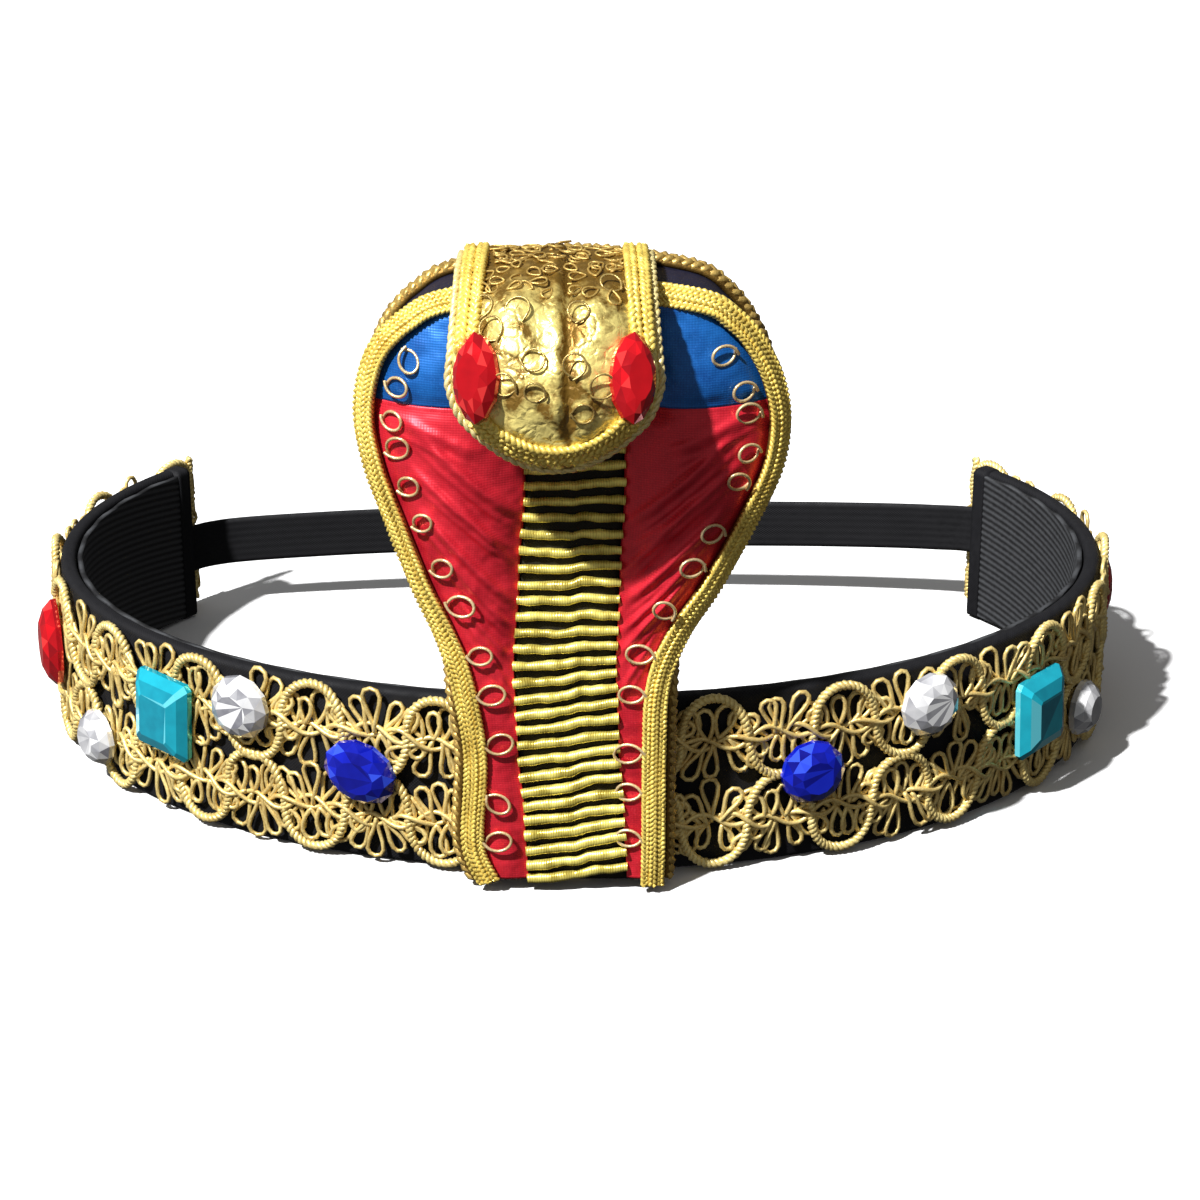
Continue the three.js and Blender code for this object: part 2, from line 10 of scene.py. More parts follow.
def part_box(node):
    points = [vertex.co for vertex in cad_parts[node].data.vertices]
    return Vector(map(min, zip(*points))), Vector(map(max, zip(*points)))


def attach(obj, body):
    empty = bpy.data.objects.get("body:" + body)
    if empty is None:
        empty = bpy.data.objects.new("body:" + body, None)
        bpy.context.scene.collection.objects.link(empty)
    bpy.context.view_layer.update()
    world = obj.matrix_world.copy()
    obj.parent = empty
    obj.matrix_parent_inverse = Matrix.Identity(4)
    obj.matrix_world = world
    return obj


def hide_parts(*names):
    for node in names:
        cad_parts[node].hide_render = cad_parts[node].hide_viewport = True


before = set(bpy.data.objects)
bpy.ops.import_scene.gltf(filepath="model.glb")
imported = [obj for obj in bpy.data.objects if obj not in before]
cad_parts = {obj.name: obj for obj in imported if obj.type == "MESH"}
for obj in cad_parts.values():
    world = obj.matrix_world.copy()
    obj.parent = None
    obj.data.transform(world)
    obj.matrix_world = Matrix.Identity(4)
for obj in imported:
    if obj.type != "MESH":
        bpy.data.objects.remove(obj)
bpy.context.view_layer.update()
print("frame loaded:", len(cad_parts), "nodes")

tau = math.tau
mm = 0.001
upWay = Vector((0, 0, 1))


# Node trees written as expressions
class Wire:
    def __init__(self, graph, socket):
        self.graph, self.socket = graph, socket

    def out(self, name):  # another output of the same node
        return Wire(self.graph, self.socket.node.outputs[name])

    def maths(self, kind, *values):
        return self.graph.add("ShaderNodeMath", {"operation": kind}, dict(enumerate((self, *values))))

    def flipped(self, kind, value):
        return self.graph.add("ShaderNodeMath", {"operation": kind}, {0: value, 1: self})

    def sin(self):
        return self.maths("SINE")

    def cos(self):
        return self.maths("COSINE")

    def __add__(self, value):
        return self.maths("ADD", value)

    def __sub__(self, value):
        return self.maths("SUBTRACT", value)

    def __mul__(self, value):
        return self.maths("MULTIPLY", value)

    def __truediv__(self, value):
        return self.maths("DIVIDE", value)

    def __pow__(self, value):
        return self.maths("POWER", value)

    def __rsub__(self, value):
        return self.flipped("SUBTRACT", value)

    def __rtruediv__(self, value):
        return self.flipped("DIVIDE", value)

    __radd__ = __add__
    __rmul__ = __mul__


class Graph:
    def __init__(self, tree):
        self.tree = tree

    def add(self, kind, settings=None, sockets=None, out=0):
        node = self.tree.nodes.new(kind)
        for name, value in (settings or {}).items():
            setattr(node, name, value)
        for key, value in (sockets or {}).items():
            for each in value if isinstance(value, list) else [value]:
                if isinstance(each, Wire):
                    self.tree.links.new(each.socket, node.inputs[key])
                else:
                    node.inputs[key].default_value = each
        return Wire(self, node.outputs[out]) if node.outputs else node

    def vector(self, kind, *values):
        sockets = {0: values[0], 3: values[1]} if kind == "SCALE" else dict(enumerate(values))
        return self.add("ShaderNodeVectorMath", {"operation": kind}, sockets)

    def mix(self, share, first, second):  # blends two colours
        colors = [c if isinstance(c, Wire) else (*c, 1) for c in (first, second)]
        sockets = {0: share, 6: colors[0], 7: colors[1]}
        return self.add("ShaderNodeMix", {"data_type": "RGBA"}, sockets, out=2)

    def grain(self, scale, detail, out="Fac"):  # noise on the piece's own place
        where = self.add("ShaderNodeTexCoord", out="Object")
        return self.add("ShaderNodeTexNoise", None, {"Vector": where, "Scale": scale, "Detail": detail}, out)

    def spread(self, value, low, high, to=(0, 1)):  # stretches a range of values over another
        sockets = {0: value, 1: low, 2: high, 3: to[0], 4: to[1]}
        return self.add("ShaderNodeMapRange", {"clamp": True}, sockets)

    def bump(self, height, distance, strength):
        sockets = {"Height": height, "Distance": distance, "Strength": strength}
        return self.add("ShaderNodeBump", None, sockets)

    def stored(self, label):  # an attribute of the points
        settings = {"data_type": "FLOAT_VECTOR"}
        return self.add("GeometryNodeInputNamedAttribute", settings, {"Name": label})

    def onPoints(self, points, shape):  # a copy on each point, turned and sized by its attributes
        turned = self.add("FunctionNodeEulerToRotation", None, {0: self.stored("turn")})
        copies = self.add("GeometryNodeInstanceOnPoints", None, {
            "Points": points, "Instance": shape, "Rotation": turned, "Scale": self.stored("reach")})
        return self.add("GeometryNodeRealizeInstances", None, {"Geometry": copies})

    def tube(self, lines, radius, sides, scale=1.0):  # a cord along lines
        section = self.add("GeometryNodeCurvePrimitiveCircle", None, {"Resolution": sides, "Radius": radius})
        return self.add("GeometryNodeCurveToMesh", None, {
            "Curve": lines, "Profile Curve": section, "Scale": scale, "Fill Caps": True})


def newFinish(name, fixed, varied):
    material = bpy.data.materials.new(name)
    material.use_nodes = True
    graph = Graph(material.node_tree)
    shader = material.node_tree.nodes["Principled BSDF"]
    for key, value in fixed.items():
        shader.inputs[key].default_value = value
    for key, wire in varied(graph).items():
        graph.tree.links.new(wire.socket, shader.inputs[key])
    return material


# Finishes
def clothCoords(graph):  # the cloth's own width and length, in millimetres
    where = graph.add("ShaderNodeUVMap", {"uv_map": "cloth"})
    parts = graph.add("ShaderNodeSeparateXYZ", None, {0: where})
    return parts.out("X"), parts.out("Y")


def wovenFinish(name, light, dark, pitch, fixed, grainSize=0.9, depth=0.00006, shine=(0.6, 0.85)):
    def varied(graph):
        across, along = clothCoords(graph)
        warp, weft = (across * (tau / pitch)).sin(), (along * (tau / pitch)).sin()
        weave = warp * weft * 0.5 + 0.5
        fuzz = graph.grain(1000 / grainSize, 3)
        patch = graph.grain(120, 2)
        tone = graph.spread(weave * 0.45 + fuzz * 0.4 + patch * 0.35, 0.25, 0.95)
        return {
            "Base Color": graph.mix(tone, dark, light),
            "Roughness": graph.spread(fuzz, 0.3, 0.7, shine),
            "Normal": graph.bump(weave + fuzz, depth, 0.8),
        }
    return newFinish(name, fixed, varied)


def goldFinish(name, light, dark, rough, thread=0.28, metallic=0.85):
    def varied(graph):
        fine = graph.grain(1000 / thread, 2)
        patch = graph.grain(420, 2)
        broad = graph.grain(60, 1)
        tone = graph.spread(fine * 0.55 + patch * 0.45 + broad * 0.3, 0.42, 0.88)
        return {
            "Base Color": graph.mix(tone, dark, light),
            "Roughness": graph.spread(patch, 0.3, 0.7, (rough, rough + 0.18)),
            "Normal": graph.bump(fine, 0.00009, 0.7),
        }
    return newFinish(name, {"Metallic": metallic}, varied)


def ribbedFinish(name, light, dark, pitch, slant, shine):  # ribbon with ribs along it
    def varied(graph):
        across, along = clothCoords(graph)
        rib = ((across + along * slant) * (tau / pitch)).cos() * 0.5 + 0.5
        fuzz = graph.grain(1400, 3)
        tone = graph.spread(rib * 0.75 + fuzz * 0.6, 0.35, 1.0)
        return {
            "Base Color": graph.mix(tone, dark, light),
            "Roughness": graph.spread(fuzz, 0.3, 0.7, shine),
            "Normal": graph.bump(rib * 0.6 + fuzz, 0.00008, 0.7),
        }
    return newFinish(name, {"Specular IOR Level": 0.35}, varied)


def lameFinish(name, light, dark, rough, metallic=0.35):  # metallic cloth, a fine weave, with painted glints as small random bright specks
    def varied(graph):
        across, along = clothCoords(graph)
        rib = (along * (tau / 0.34) + graph.grain(700, 2) * 2.5).sin() * 0.5 + 0.5
        cross = (across * (tau / 0.4)).sin() * 0.5 + 0.5
        patch = graph.grain(210, 3)
        # painted glints: random specks mixed towards a paler copy of the light colour
        paintedSpecks = graph.spread(graph.grain(4200, 1), 0.58, 0.72)
        tone = graph.spread(rib * 0.12 + cross * 0.08 + patch * 0.9, 0.25, 0.85)
        base = graph.mix(tone, dark, light)
        return {
            "Base Color": graph.mix(paintedSpecks * 0.25, base, tuple(min(1, c * 1.5 + 0.03) for c in light)),
            "Roughness": graph.spread(patch, 0.3, 0.7, (rough, rough + 0.14)),
            "Normal": graph.bump(rib * 0.25 + cross * 0.18 + patch * 1.6, 0.00009, 0.4),
        }
    return newFinish(name, {"Metallic": metallic}, varied)


def foilFinish(name):  # crumpled gold foil cloth, brown in random blotches and darker inside its rings, with painted shade over its top and along its seam groove
    def varied(graph):
        warped = graph.vector("ADD", graph.add("ShaderNodeTexCoord", out="Object"),
                              graph.vector("SCALE", graph.grain(500, 3, out="Color"), 0.0016))
        crease = graph.add("ShaderNodeTexVoronoi", {"feature": "DISTANCE_TO_EDGE"},
                           {"Vector": warped, "Scale": 520.0})
        along = clothCoords(graph)[1]
        patch = graph.grain(240, 4)
        fine = graph.grain(2400, 2)
        # the wear attribute: brown inside the rings, and painted shade along the seam groove
        wear = graph.add("ShaderNodeAttribute", {"attribute_name": "wear"}, out="Fac")
        # painted shade: top is 1 over the head's top, where the foil colour is mixed towards dark brown
        top = graph.spread(along + patch * 14, 47, 60, (1, 0))
        blotch = graph.grain(620, 3)
        # worn runs towards brown with random blotches, with the painted shade on top and with the painted
        # seam shade
        worn = graph.spread(patch * 0.6 + blotch * 0.4 + fine * 0.15 - top * 0.14 - wear * 0.22, 0.44, 0.62)
        height = graph.spread(crease, 0.0, 0.2) * 0.5 + patch * 1.3 + fine * 0.2
        pale = graph.mix(top, (1.0, 0.83, 0.27), (0.5, 0.31, 0.07))
        return {
            "Base Color": graph.mix(worn, (0.2, 0.11, 0.015), pale),
            "Roughness": graph.spread(patch, 0.35, 0.65, (0.46, 0.28)),
            "Metallic": graph.spread(along, 66, 82, (0.6, 0.2)),
            "Normal": graph.bump(height + blotch * 0.7, 0.0003, 0.55),
        }
    return newFinish(name, {}, varied)


def stoneFinish(name, light, dark, edge, metallic=0.35):  # foil-backed facets, each painted its own tone between dark and light as painted reflections, and a few painted in the edge colour as glints
    def varied(graph):
        facing = graph.add("ShaderNodeNewGeometry", out="True Normal")
        stepped = graph.vector("SNAP", facing, (0.11, 0.11, 0.11))
        settings = {"noise_dimensions": "3D"}
        lot = graph.add("ShaderNodeTexWhiteNoise", settings, {"Vector": stepped}, out="Value")
        cloud = graph.grain(420, 2)
        tone = graph.spread(lot * 0.8 + cloud * 0.4, 0.15, 0.95)
        # painted glints: a few facets take the edge colour
        paintedGlint = graph.spread(lot, 0.86, 0.9)
        base = graph.mix(tone, dark, light)
        return {
            "Base Color": graph.mix(paintedGlint, base, edge),
            "Roughness": graph.spread(cloud, 0.3, 0.7, (0.04, 0.13)),
        }
    return newFinish(name, {"Metallic": metallic, "Coat Weight": 0.5, "Coat Roughness": 0.03}, varied)


def pleatFinish(name, light, dark):  # gold pleats, their threads standing upright
    def varied(graph):
        across = clothCoords(graph)[0]
        thread = (across * (tau / 0.36) + graph.grain(700, 2) * 9).sin() * 0.5 + 0.5
        patch = graph.grain(330, 3)
        tone = graph.spread(thread * 0.16 + patch * 1.15, 0.4, 0.85)
        return {
            "Base Color": graph.mix(tone, dark, light),
            "Roughness": graph.spread(patch, 0.3, 0.7, (0.24, 0.42)),
            "Normal": graph.bump(thread * 0.25 + patch, 0.00012, 0.6),
        }
    return newFinish(name, {"Metallic": 0.45}, varied)


finishes = {
    "band": wovenFinish("black band cloth", (0.011, 0.011, 0.013), (0.002, 0.002, 0.003), 0.5,
                        {"Specular IOR Level": 0.2}),
    "lining": ribbedFinish("charcoal ribbon", (0.046, 0.048, 0.052), (0.009, 0.009, 0.01), 1.15, -0.13,
                           (0.5, 0.65)),
    "elastic": wovenFinish("black elastic", (0.012, 0.012, 0.014), (0.003, 0.003, 0.004), 0.4,
                           {"Specular IOR Level": 0.25}),
    "hood": wovenFinish("dark hood cloth", (0.014, 0.014, 0.036), (0.003, 0.003, 0.01), 0.5,
                        {"Specular IOR Level": 0.25}, shine=(0.5, 0.7)),
    "bellyCloth": wovenFinish("black belly cloth", (0.02, 0.017, 0.008), (0.003, 0.003, 0.002), 0.45,
                              {"Specular IOR Level": 0.25}),
    "lace": goldFinish("gold lace cord", (1.0, 0.81, 0.33), (0.5, 0.32, 0.09), 0.3, metallic=0.4),
    "gimp": goldFinish("gold gimp cord", (1.0, 0.84, 0.36), (0.54, 0.36, 0.1), 0.3, metallic=0.4),
    "braid": goldFinish("gold braid", (1.0, 0.81, 0.2), (0.6, 0.39, 0.06), 0.3, metallic=0.35),
    # the braid core's dark colour is painted shade between the braid strands
    "braidCore": goldFinish("braid core", (0.34, 0.2, 0.04), (0.1, 0.05, 0.012), 0.45),
    "rearBraid": goldFinish("brown gold braid", (0.72, 0.51, 0.145), (0.28, 0.16, 0.035), 0.3, metallic=0.5),
    "paleCord": goldFinish("pale gold cord", (0.98, 0.86, 0.42), (0.6, 0.45, 0.15), 0.3, metallic=0.35),
    "wire": goldFinish("pale gold wire", (0.95, 0.76, 0.45), (0.55, 0.36, 0.14), 0.22, metallic=0.5),
    "faceWire": goldFinish("gold wire", (0.62, 0.47, 0.16), (0.24, 0.14, 0.035), 0.25, metallic=0.6),
    "foil": foilFinish("gold foil cloth"),
    "pleats": pleatFinish("gold pleats", (0.98, 0.84, 0.2), (0.34, 0.25, 0.03)),
    "red": lameFinish("red metallic cloth", (0.88, 0.028, 0.05), (0.42, 0.007, 0.019), 0.33),
    "blue": lameFinish("blue metallic cloth", (0.012, 0.17, 0.58), (0.005, 0.05, 0.24), 0.3),
    # stones: light and dark are painted facet reflections, the third colour is the painted glint
    "blueStone": stoneFinish("royal blue stone", (0.006, 0.02, 0.68), (0.001, 0.002, 0.2), (0.04, 0.1, 0.95)),
    "clearStone": stoneFinish("clear stone", (1, 1, 1), (0.2, 0.2, 0.23), (1, 1, 1), 0.2),
    "turquoiseStone": stoneFinish("turquoise stone", (0.02, 0.66, 0.84), (0.006, 0.25, 0.36),
                                  (0.16, 0.75, 0.88)),
    "redStone": stoneFinish("red stone", (0.84, 0.006, 0.014), (0.3, 0.001, 0.006), (0.9, 0.04, 0.04)),
}


print("finishes:", len(finishes))


# Shaping helpers; lengths in a piece's dictionary are millimetres from the band's middle
bandLow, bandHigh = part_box("band")
frontShift = bandLow.y + 0.067  # the band's front is 67 mm before its middle
sideShift = (bandLow.x + bandHigh.x) / 2


def place(x, y, z):
    return Vector((x * mm + sideShift, y * mm + frontShift, z * mm))


def lerp(a, b, share):
    return a + (b - a) * share


def smooth(value, low, high):
    share = min(1, max(0, (value - low) / (high - low)))
    return share * share * (3 - 2 * share)


def between(a, b, first, last, t):  # a smooth run from a to b, with the slope at each end
    return (a + first * t + (a * -3 + b * 3 - first * 2 - last) * t ** 2
            + (a * 2 - b * 2 + first + last) * t ** 3)


def ripple(x, y, z, size, seed=0.0):  # smooth noise from -1 to 1, with that size in millimetres
    return noise.noise(Vector((x / size + seed, y / size - seed, z / size)))


def newPiece(name, mesh, *worn):
    piece = bpy.data.objects.new(name, mesh)
    bpy.context.scene.collection.objects.link(piece)
    for finish in worn:
        mesh.materials.append(finish)
    return piece


def loft(name, rings, finish, flat=None, capped=True, looped=True):
    # rows of points joined by faces: looped closes each row, capped closes both ends
    mesh = bpy.data.meshes.new(name)
    shape = bmesh.new()
    uv = shape.loops.layers.uv.new("cloth")
    rows = [[shape.verts.new(p) for p in ring] for ring in rings]
    count = len(rows[0])
    flat = flat or (lambda i, j: (j * 1.0, i * 1.0))
    for i in range(len(rows) - 1):
        for j in range(count if looped else count - 1):
            corners = [(i, j), (i, j + 1), (i + 1, j + 1), (i + 1, j)]
            face = shape.faces.new([rows[a][b % count] for a, b in corners])
            for loop, (a, b) in zip(face.loops, corners):
                loop[uv].uv = flat(a, b)
    if capped:
        for row, a in ((rows[0], 0), (rows[-1], len(rows) - 1)):
            face = shape.faces.new(row)
            for b, loop in enumerate(face.loops):
                loop[uv].uv = flat(a, b)
    bmesh.ops.remove_doubles(shape, verts=shape.verts, dist=1e-7)
    bmesh.ops.dissolve_degenerate(shape, edges=shape.edges, dist=1e-8)
    bmesh.ops.recalc_face_normals(shape, faces=shape.faces)
    for face in shape.faces:
        face.smooth = True
    shape.to_mesh(mesh)
    shape.free()
    return newPiece(name, mesh, finish)


def turnOver(piece):
    for face in piece.data.polygons:
        face.flip()


def faceFront(piece):
    if piece.data.polygons[0].normal.y > 0:
        turnOver(piece)


def thicken(piece, label, wall):  # a cloth's thickness, behind its face
    modifier = piece.modifiers.new(label, "SOLIDIFY")
    modifier.thickness, modifier.offset = wall * mm, -1


def lineMesh(name, points, faces=None):  # a path for a tree, with the way each point faces
    mesh = bpy.data.meshes.new(name)
    mesh.from_pydata(points, [(i, i + 1) for i in range(len(points) - 1)], [])
    if faces:
        stored = mesh.attributes.new("facing", "FLOAT_VECTOR", "POINT")
        stored.data.foreach_set("vector", [c for way in faces for c in way])
    return mesh


def joined(name, parts):
    with bpy.context.temp_override(active_object=parts[0], object=parts[0], selected_objects=parts,
                                   selected_editable_objects=parts):
        bpy.ops.object.join()
    parts[0].name = parts[0].data.name = name
    return parts[0]


def settle(piece, slot, *nodes):
    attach(piece, "root")
    if nodes:
        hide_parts(*nodes)
    print("made", piece.name, len(piece.data.polygons), "faces")


# Trees
def newTree(name, inputs):
    tree = bpy.data.node_groups.new(name, "GeometryNodeTree")
    tree.interface.new_socket("Geometry", in_out="INPUT", socket_type="NodeSocketGeometry")
    for label, kind, value in inputs:
        socket = tree.interface.new_socket(label, in_out="INPUT", socket_type="NodeSocket" + kind)
        if value is not None:
            socket.default_value = value
    tree.interface.new_socket("Finish", in_out="INPUT", socket_type="NodeSocketMaterial")
    tree.interface.new_socket("Geometry", in_out="OUTPUT", socket_type="NodeSocketGeometry")
    graph = Graph(tree)
    return graph, graph.add("NodeGroupInput")


def endTree(graph, source, geometry):
    shaded = graph.add("GeometryNodeSetShadeSmooth", None, {"Geometry": geometry})
    real = graph.add("GeometryNodeRealizeInstances", None, {"Geometry": shaded})
    worn = graph.add("GeometryNodeSetMaterial", None, {"Geometry": real, "Material": source.out("Finish")})
    graph.add("NodeGroupOutput", None, {"Geometry": worn})
    return graph.tree


def grow(name, mesh, tree, finish, sizes, others=None):
    # runs a tree on a mesh and keeps the plain result; sizes are millimetres
    values = {"Finish": finish, **{label: size * mm for label, size in sizes.items()}, **(others or {})}
    piece = newPiece(name, mesh)
    modifier = piece.modifiers.new(name, "NODES")
    modifier.node_group = tree
    for item in tree.interface.items_tree:
        if item.in_out == "INPUT" and item.name in values:
            modifier[item.identifier] = values[item.name]
    view = bpy.context.evaluated_depsgraph_get()
    made = bpy.data.meshes.new_from_object(piece.evaluated_get(view))
    piece.modifiers.clear()
    piece.data = made
    return piece


def cordTree(name, strands, beat, sides):
    # strands wound about a path: beat 1 twists them, beat 2 plaits them flat
    graph, source = newTree(name, [
        ("Wide", "Float", 0.0005), ("Deep", "Float", 0.0005), ("Pitch", "Float", 0.003),
        ("Thread", "Float", 0.0004), ("Step", "Float", 0.0004), ("Aside", "Float", 0.0),
        ("Raised", "Float", 0.0), ("Start", "Float", 0.0)])
    line = graph.add("GeometryNodeMeshToCurve", None, {"Mesh": source})
    line = graph.add("GeometryNodeResampleCurve", {"mode": "LENGTH"},
                     {"Curve": line, "Length": source.out("Step")})
    length = graph.add("GeometryNodeSplineParameter", out="Length")
    along = graph.add("GeometryNodeInputTangent")
    facing = graph.stored("facing")
    aside = graph.vector("CROSS_PRODUCT", along, facing)
    angle = length / source.out("Pitch") * tau + source.out("Start")
    made = []
    for strand in range(strands):
        turn = angle + tau * strand / strands
        across = turn.sin() * source.out("Wide") + source.out("Aside")
        rise = (turn * 2).sin() if beat == 2 else turn.cos()
        lift = rise * source.out("Deep") + source.out("Raised")
        move = graph.vector("ADD", graph.vector("SCALE", aside, across), graph.vector("SCALE", facing, lift))
        strandLine = graph.add("GeometryNodeSetPosition", None, {"Geometry": line, "Offset": move})
        made.append(graph.tube(strandLine, source.out("Thread"), sides))
    return endTree(graph, source, graph.add("GeometryNodeJoinGeometry", None, {"Geometry": made}))


plaitTree = cordTree("plaited braid", 3, 2, 6)
pairTree = cordTree("two-ply cord", 2, 1, 6)


def wireTree(name, shapeOf, resolution, sides, closed):
    # a loop of cord on each point, turned and sized by the points' attributes
    graph, source = newTree(name, [("Thread", "Float", 0.0003)])
    if closed:
        ring = graph.add("GeometryNodeCurvePrimitiveCircle", None, {"Resolution": resolution, "Radius": 1.0})
    else:
        ring = graph.add("GeometryNodeCurvePrimitiveLine", None, {"End": (1.0, 0.0, 0.0)})
        ring = graph.add("GeometryNodeResampleCurve", None, {"Curve": ring, "Count": resolution})
    share = graph.add("GeometryNodeSplineParameter", out="Factor")
    spot = graph.add("ShaderNodeCombineXYZ", None, dict(enumerate(shapeOf(share))))
    ring = graph.add("GeometryNodeSetPosition", None, {"Geometry": ring, "Position": spot})
    lines = graph.onPoints(source, ring)
    return endTree(graph, source, graph.tube(lines, source.out("Thread"), sides))


def teardrop(share):  # one long and one wide, its point at the root
    angle = share * tau
    return angle.sin() * (angle / 2).sin() * 0.65, (1 - angle.cos()) / 2, angle.sin() * 0.05


def stemmed(share):  # a round loop on a narrow stem
    angle = share * tau
    return angle.sin() * (angle / 2).sin() ** 3 * 0.87, (1 - angle.cos()) / 2, angle.sin() * 0.05


def openRing(share):  # an oval ring whose ends cross and run out under the braid
    angle = share * (tau * 1.1) - tau * 0.55
    tail = (angle / 3.46) ** 8
    return angle.sin() * 0.5, angle.cos() * 0.5 + 0.5 - tail * 0.16, (share - 0.5) * 0.2 - tail * 0.1


dropTree = wireTree("lace drop", teardrop, 12, 5, True)
stemTree = wireTree("lace loop on a stem", stemmed, 14, 5, True)
ringTree = wireTree("wire ring", openRing, 22, 5, False)

loopLift = 3  # scale of a loop's lift off the flat


def reach(wide, long):
    return wide * mm, long * mm, loopLift * mm


def pointMesh(name, rows):  # points with a turn and a reach for a tree to read
    mesh = bpy.data.meshes.new(name)
    mesh.from_pydata([row[0] for row in rows], [], [])
    for label, column in (("turn", 1), ("reach", 2)):
        stored = mesh.attributes.new(label, "FLOAT_VECTOR", "POINT")
        stored.data.foreach_set("vector", [c for row in rows for c in row[column]])
    return mesh


# Band: places by length from the front, distance outwards and height
bandSizes = {"halfWidth": 86, "frontDepth": 67, "armAngle": 122, "height": 28, "wall": 2.5, "corner": 0.9,
             "steps": 150, "samples": 2000, "bindingLength": 2.3, "bindingPast": 0.35, "bindingCover": 0.18,
             "bindingIn": 3.8, "bindingCorner": 1.0, "bindingSteps": 5}

bandTurns = [math.radians(lerp(-bandSizes["armAngle"], bandSizes["armAngle"], i / bandSizes["samples"]))
             for i in range(bandSizes["samples"] + 1)]


def onEllipse(turn):
    return bandSizes["halfWidth"] * math.sin(turn), -bandSizes["frontDepth"] * math.cos(turn)


bandLengths = [0.0]
for before, after in zip(bandTurns, bandTurns[1:]):
    bandLengths.append(bandLengths[-1] + math.dist(onEllipse(before), onEllipse(after)))
bandLength = bandLengths[-1]
halfBand = bandLength / 2


def bandPoint(along, outwards, up):
    at = along + halfBand
    held = min(max(at, 0), bandLength)
    i = min(bisect.bisect_right(bandLengths, held) - 1, len(bandTurns) - 2)
    share = (held - bandLengths[i]) / (bandLengths[i + 1] - bandLengths[i])
    turn = lerp(bandTurns[i], bandTurns[i + 1], share)
    x, y = onEllipse(turn)
    tangent = Vector((bandSizes["halfWidth"] * math.cos(turn), bandSizes["frontDepth"] * math.sin(turn)))
    tangent.normalize()
    return place(x + tangent.y * outwards + tangent.x * (at - held),
                 y - tangent.x * outwards + tangent.y * (at - held), up)


def roundedSection(inner, outer, low, high, corner, perCorner=4):
    # corners of a strip's section, from the inner lower one round
    section = []
    for k, (out, up) in enumerate(((inner, low), (outer, low), (outer, high), (inner, high))):
        centre = (out + (corner if out == inner else -corner), up + (corner if up == low else -corner))
        for step in range(perCorner + 1):
            angle = math.pi * (1 + (k + step / perCorner) / 2)
            section.append((centre[0] + corner * math.cos(angle), centre[1] + corner * math.sin(angle)))
    return section


def bandStrip(name, start, end, steps, section, finish):
    places = [lerp(start, end, i / steps) for i in range(steps + 1)]
    rings = [[bandPoint(along, out, up) for out, up in section] for along in places]
    girth = [0.0]
    for a, b in zip(section, section[1:] + section[:1]):
        girth.append(girth[-1] + math.dist(a, b))
    return loft(name, rings, finish, lambda i, j: (girth[j], (end - start) * i / steps))


def makeBand():
    s = bandSizes
    body = roundedSection(-s["wall"], 0, 0, s["height"], s["corner"])
    parts = [bandStrip("bandBody", -halfBand, halfBand, s["steps"], body, finishes["band"])]
    cover = s["bindingCover"]
    binding = roundedSection(-s["bindingIn"], cover, 0, s["height"] + cover, s["bindingCorner"])
    start, end = halfBand - s["bindingLength"], halfBand + s["bindingPast"]
    for side in (-1, 1):  # a folded strip over each raw end
        parts.append(bandStrip("binding", side * start, side * end, s["bindingSteps"], binding,
                               finishes["band"]))
    settle(joined("bandCloth", parts), "band_fabric", "band")


makeBand()

liningSizes = {"low": 0.6, "high": 27.4, "outer": -2.8, "thick": 0.75, "ribPitch": 1.15, "ribHeight": 0.16,
               "slant": -0.13, "columns": 150, "rowsPerRib": 5, "short": 0.5}


def makeLining():
    s = liningSizes
    rows = int((s["high"] - s["low"]) / s["ribPitch"]) * s["rowsPerRib"]
    end = halfBand - s["short"]
    alongAt = lambda i: lerp(-end, end, i / s["columns"])
    upAt = lambda j: lerp(s["low"], s["high"], j / rows)
    rings = []
    for i in range(s["columns"] + 1):
        along = alongAt(i)
        ring = []
        for j in range(rows + 1):
            rib = math.cos(tau * (upAt(j) + s["slant"] * along) / s["ribPitch"]) * s["ribHeight"] / 2
            ring.append(bandPoint(along, s["outer"] - s["thick"] - rib, upAt(j)))
        rings.append(ring)
    lining = loft("liningRibbon", rings, finishes["lining"], lambda i, j: (upAt(j), alongAt(i)), False, False)
    turnOver(lining)  # the ribbed face looks inwards
    thicken(lining, "ribbon thickness", s["thick"])
    settle(lining, "lining_ribbon", "band_lining")


makeLining()


# Smooth path through points, spaced as the part's own source spaces it
def smoothPath(points, share):
    at = min(max(share, 0), 1) * (len(points) - 1)
    i = min(int(at), len(points) - 2)
    inside = lambda k: points[k] if 0 <= k < len(points) else (
        points[0] * 2 - points[1] if k < 0 else points[-1] * 2 - points[-2])
    p = [inside(k) for k in range(i - 1, i + 3)]
    gap = [max((b - a).length_squared ** 0.25, 1e-6) for a, b in zip(p, p[1:])]
    first = ((p[1] - p[0]) / gap[0] - (p[2] - p[0]) / (gap[0] + gap[1]) + (p[2] - p[1]) / gap[1]) * gap[1]
    last = ((p[2] - p[1]) / gap[1] - (p[3] - p[1]) / (gap[1] + gap[2]) + (p[3] - p[2]) / gap[2]) * gap[1]
    return between(p[1], p[2], first, last, at - i)


strapSizes = {"width": 8.6, "thick": 0.9, "left": 10.8, "right": 17, "sag": 0.35, "tuck": 8, "tuckIn": 0.5,
              "tuckEnd": 0.6, "ribs": 7, "ribHeight": 0.05, "edge": 0.25, "steps": 130, "back": 44.2,
              "places": ((69.9, 36.9), (64.5, 39.2), (46, 42), (23, 43.6))}


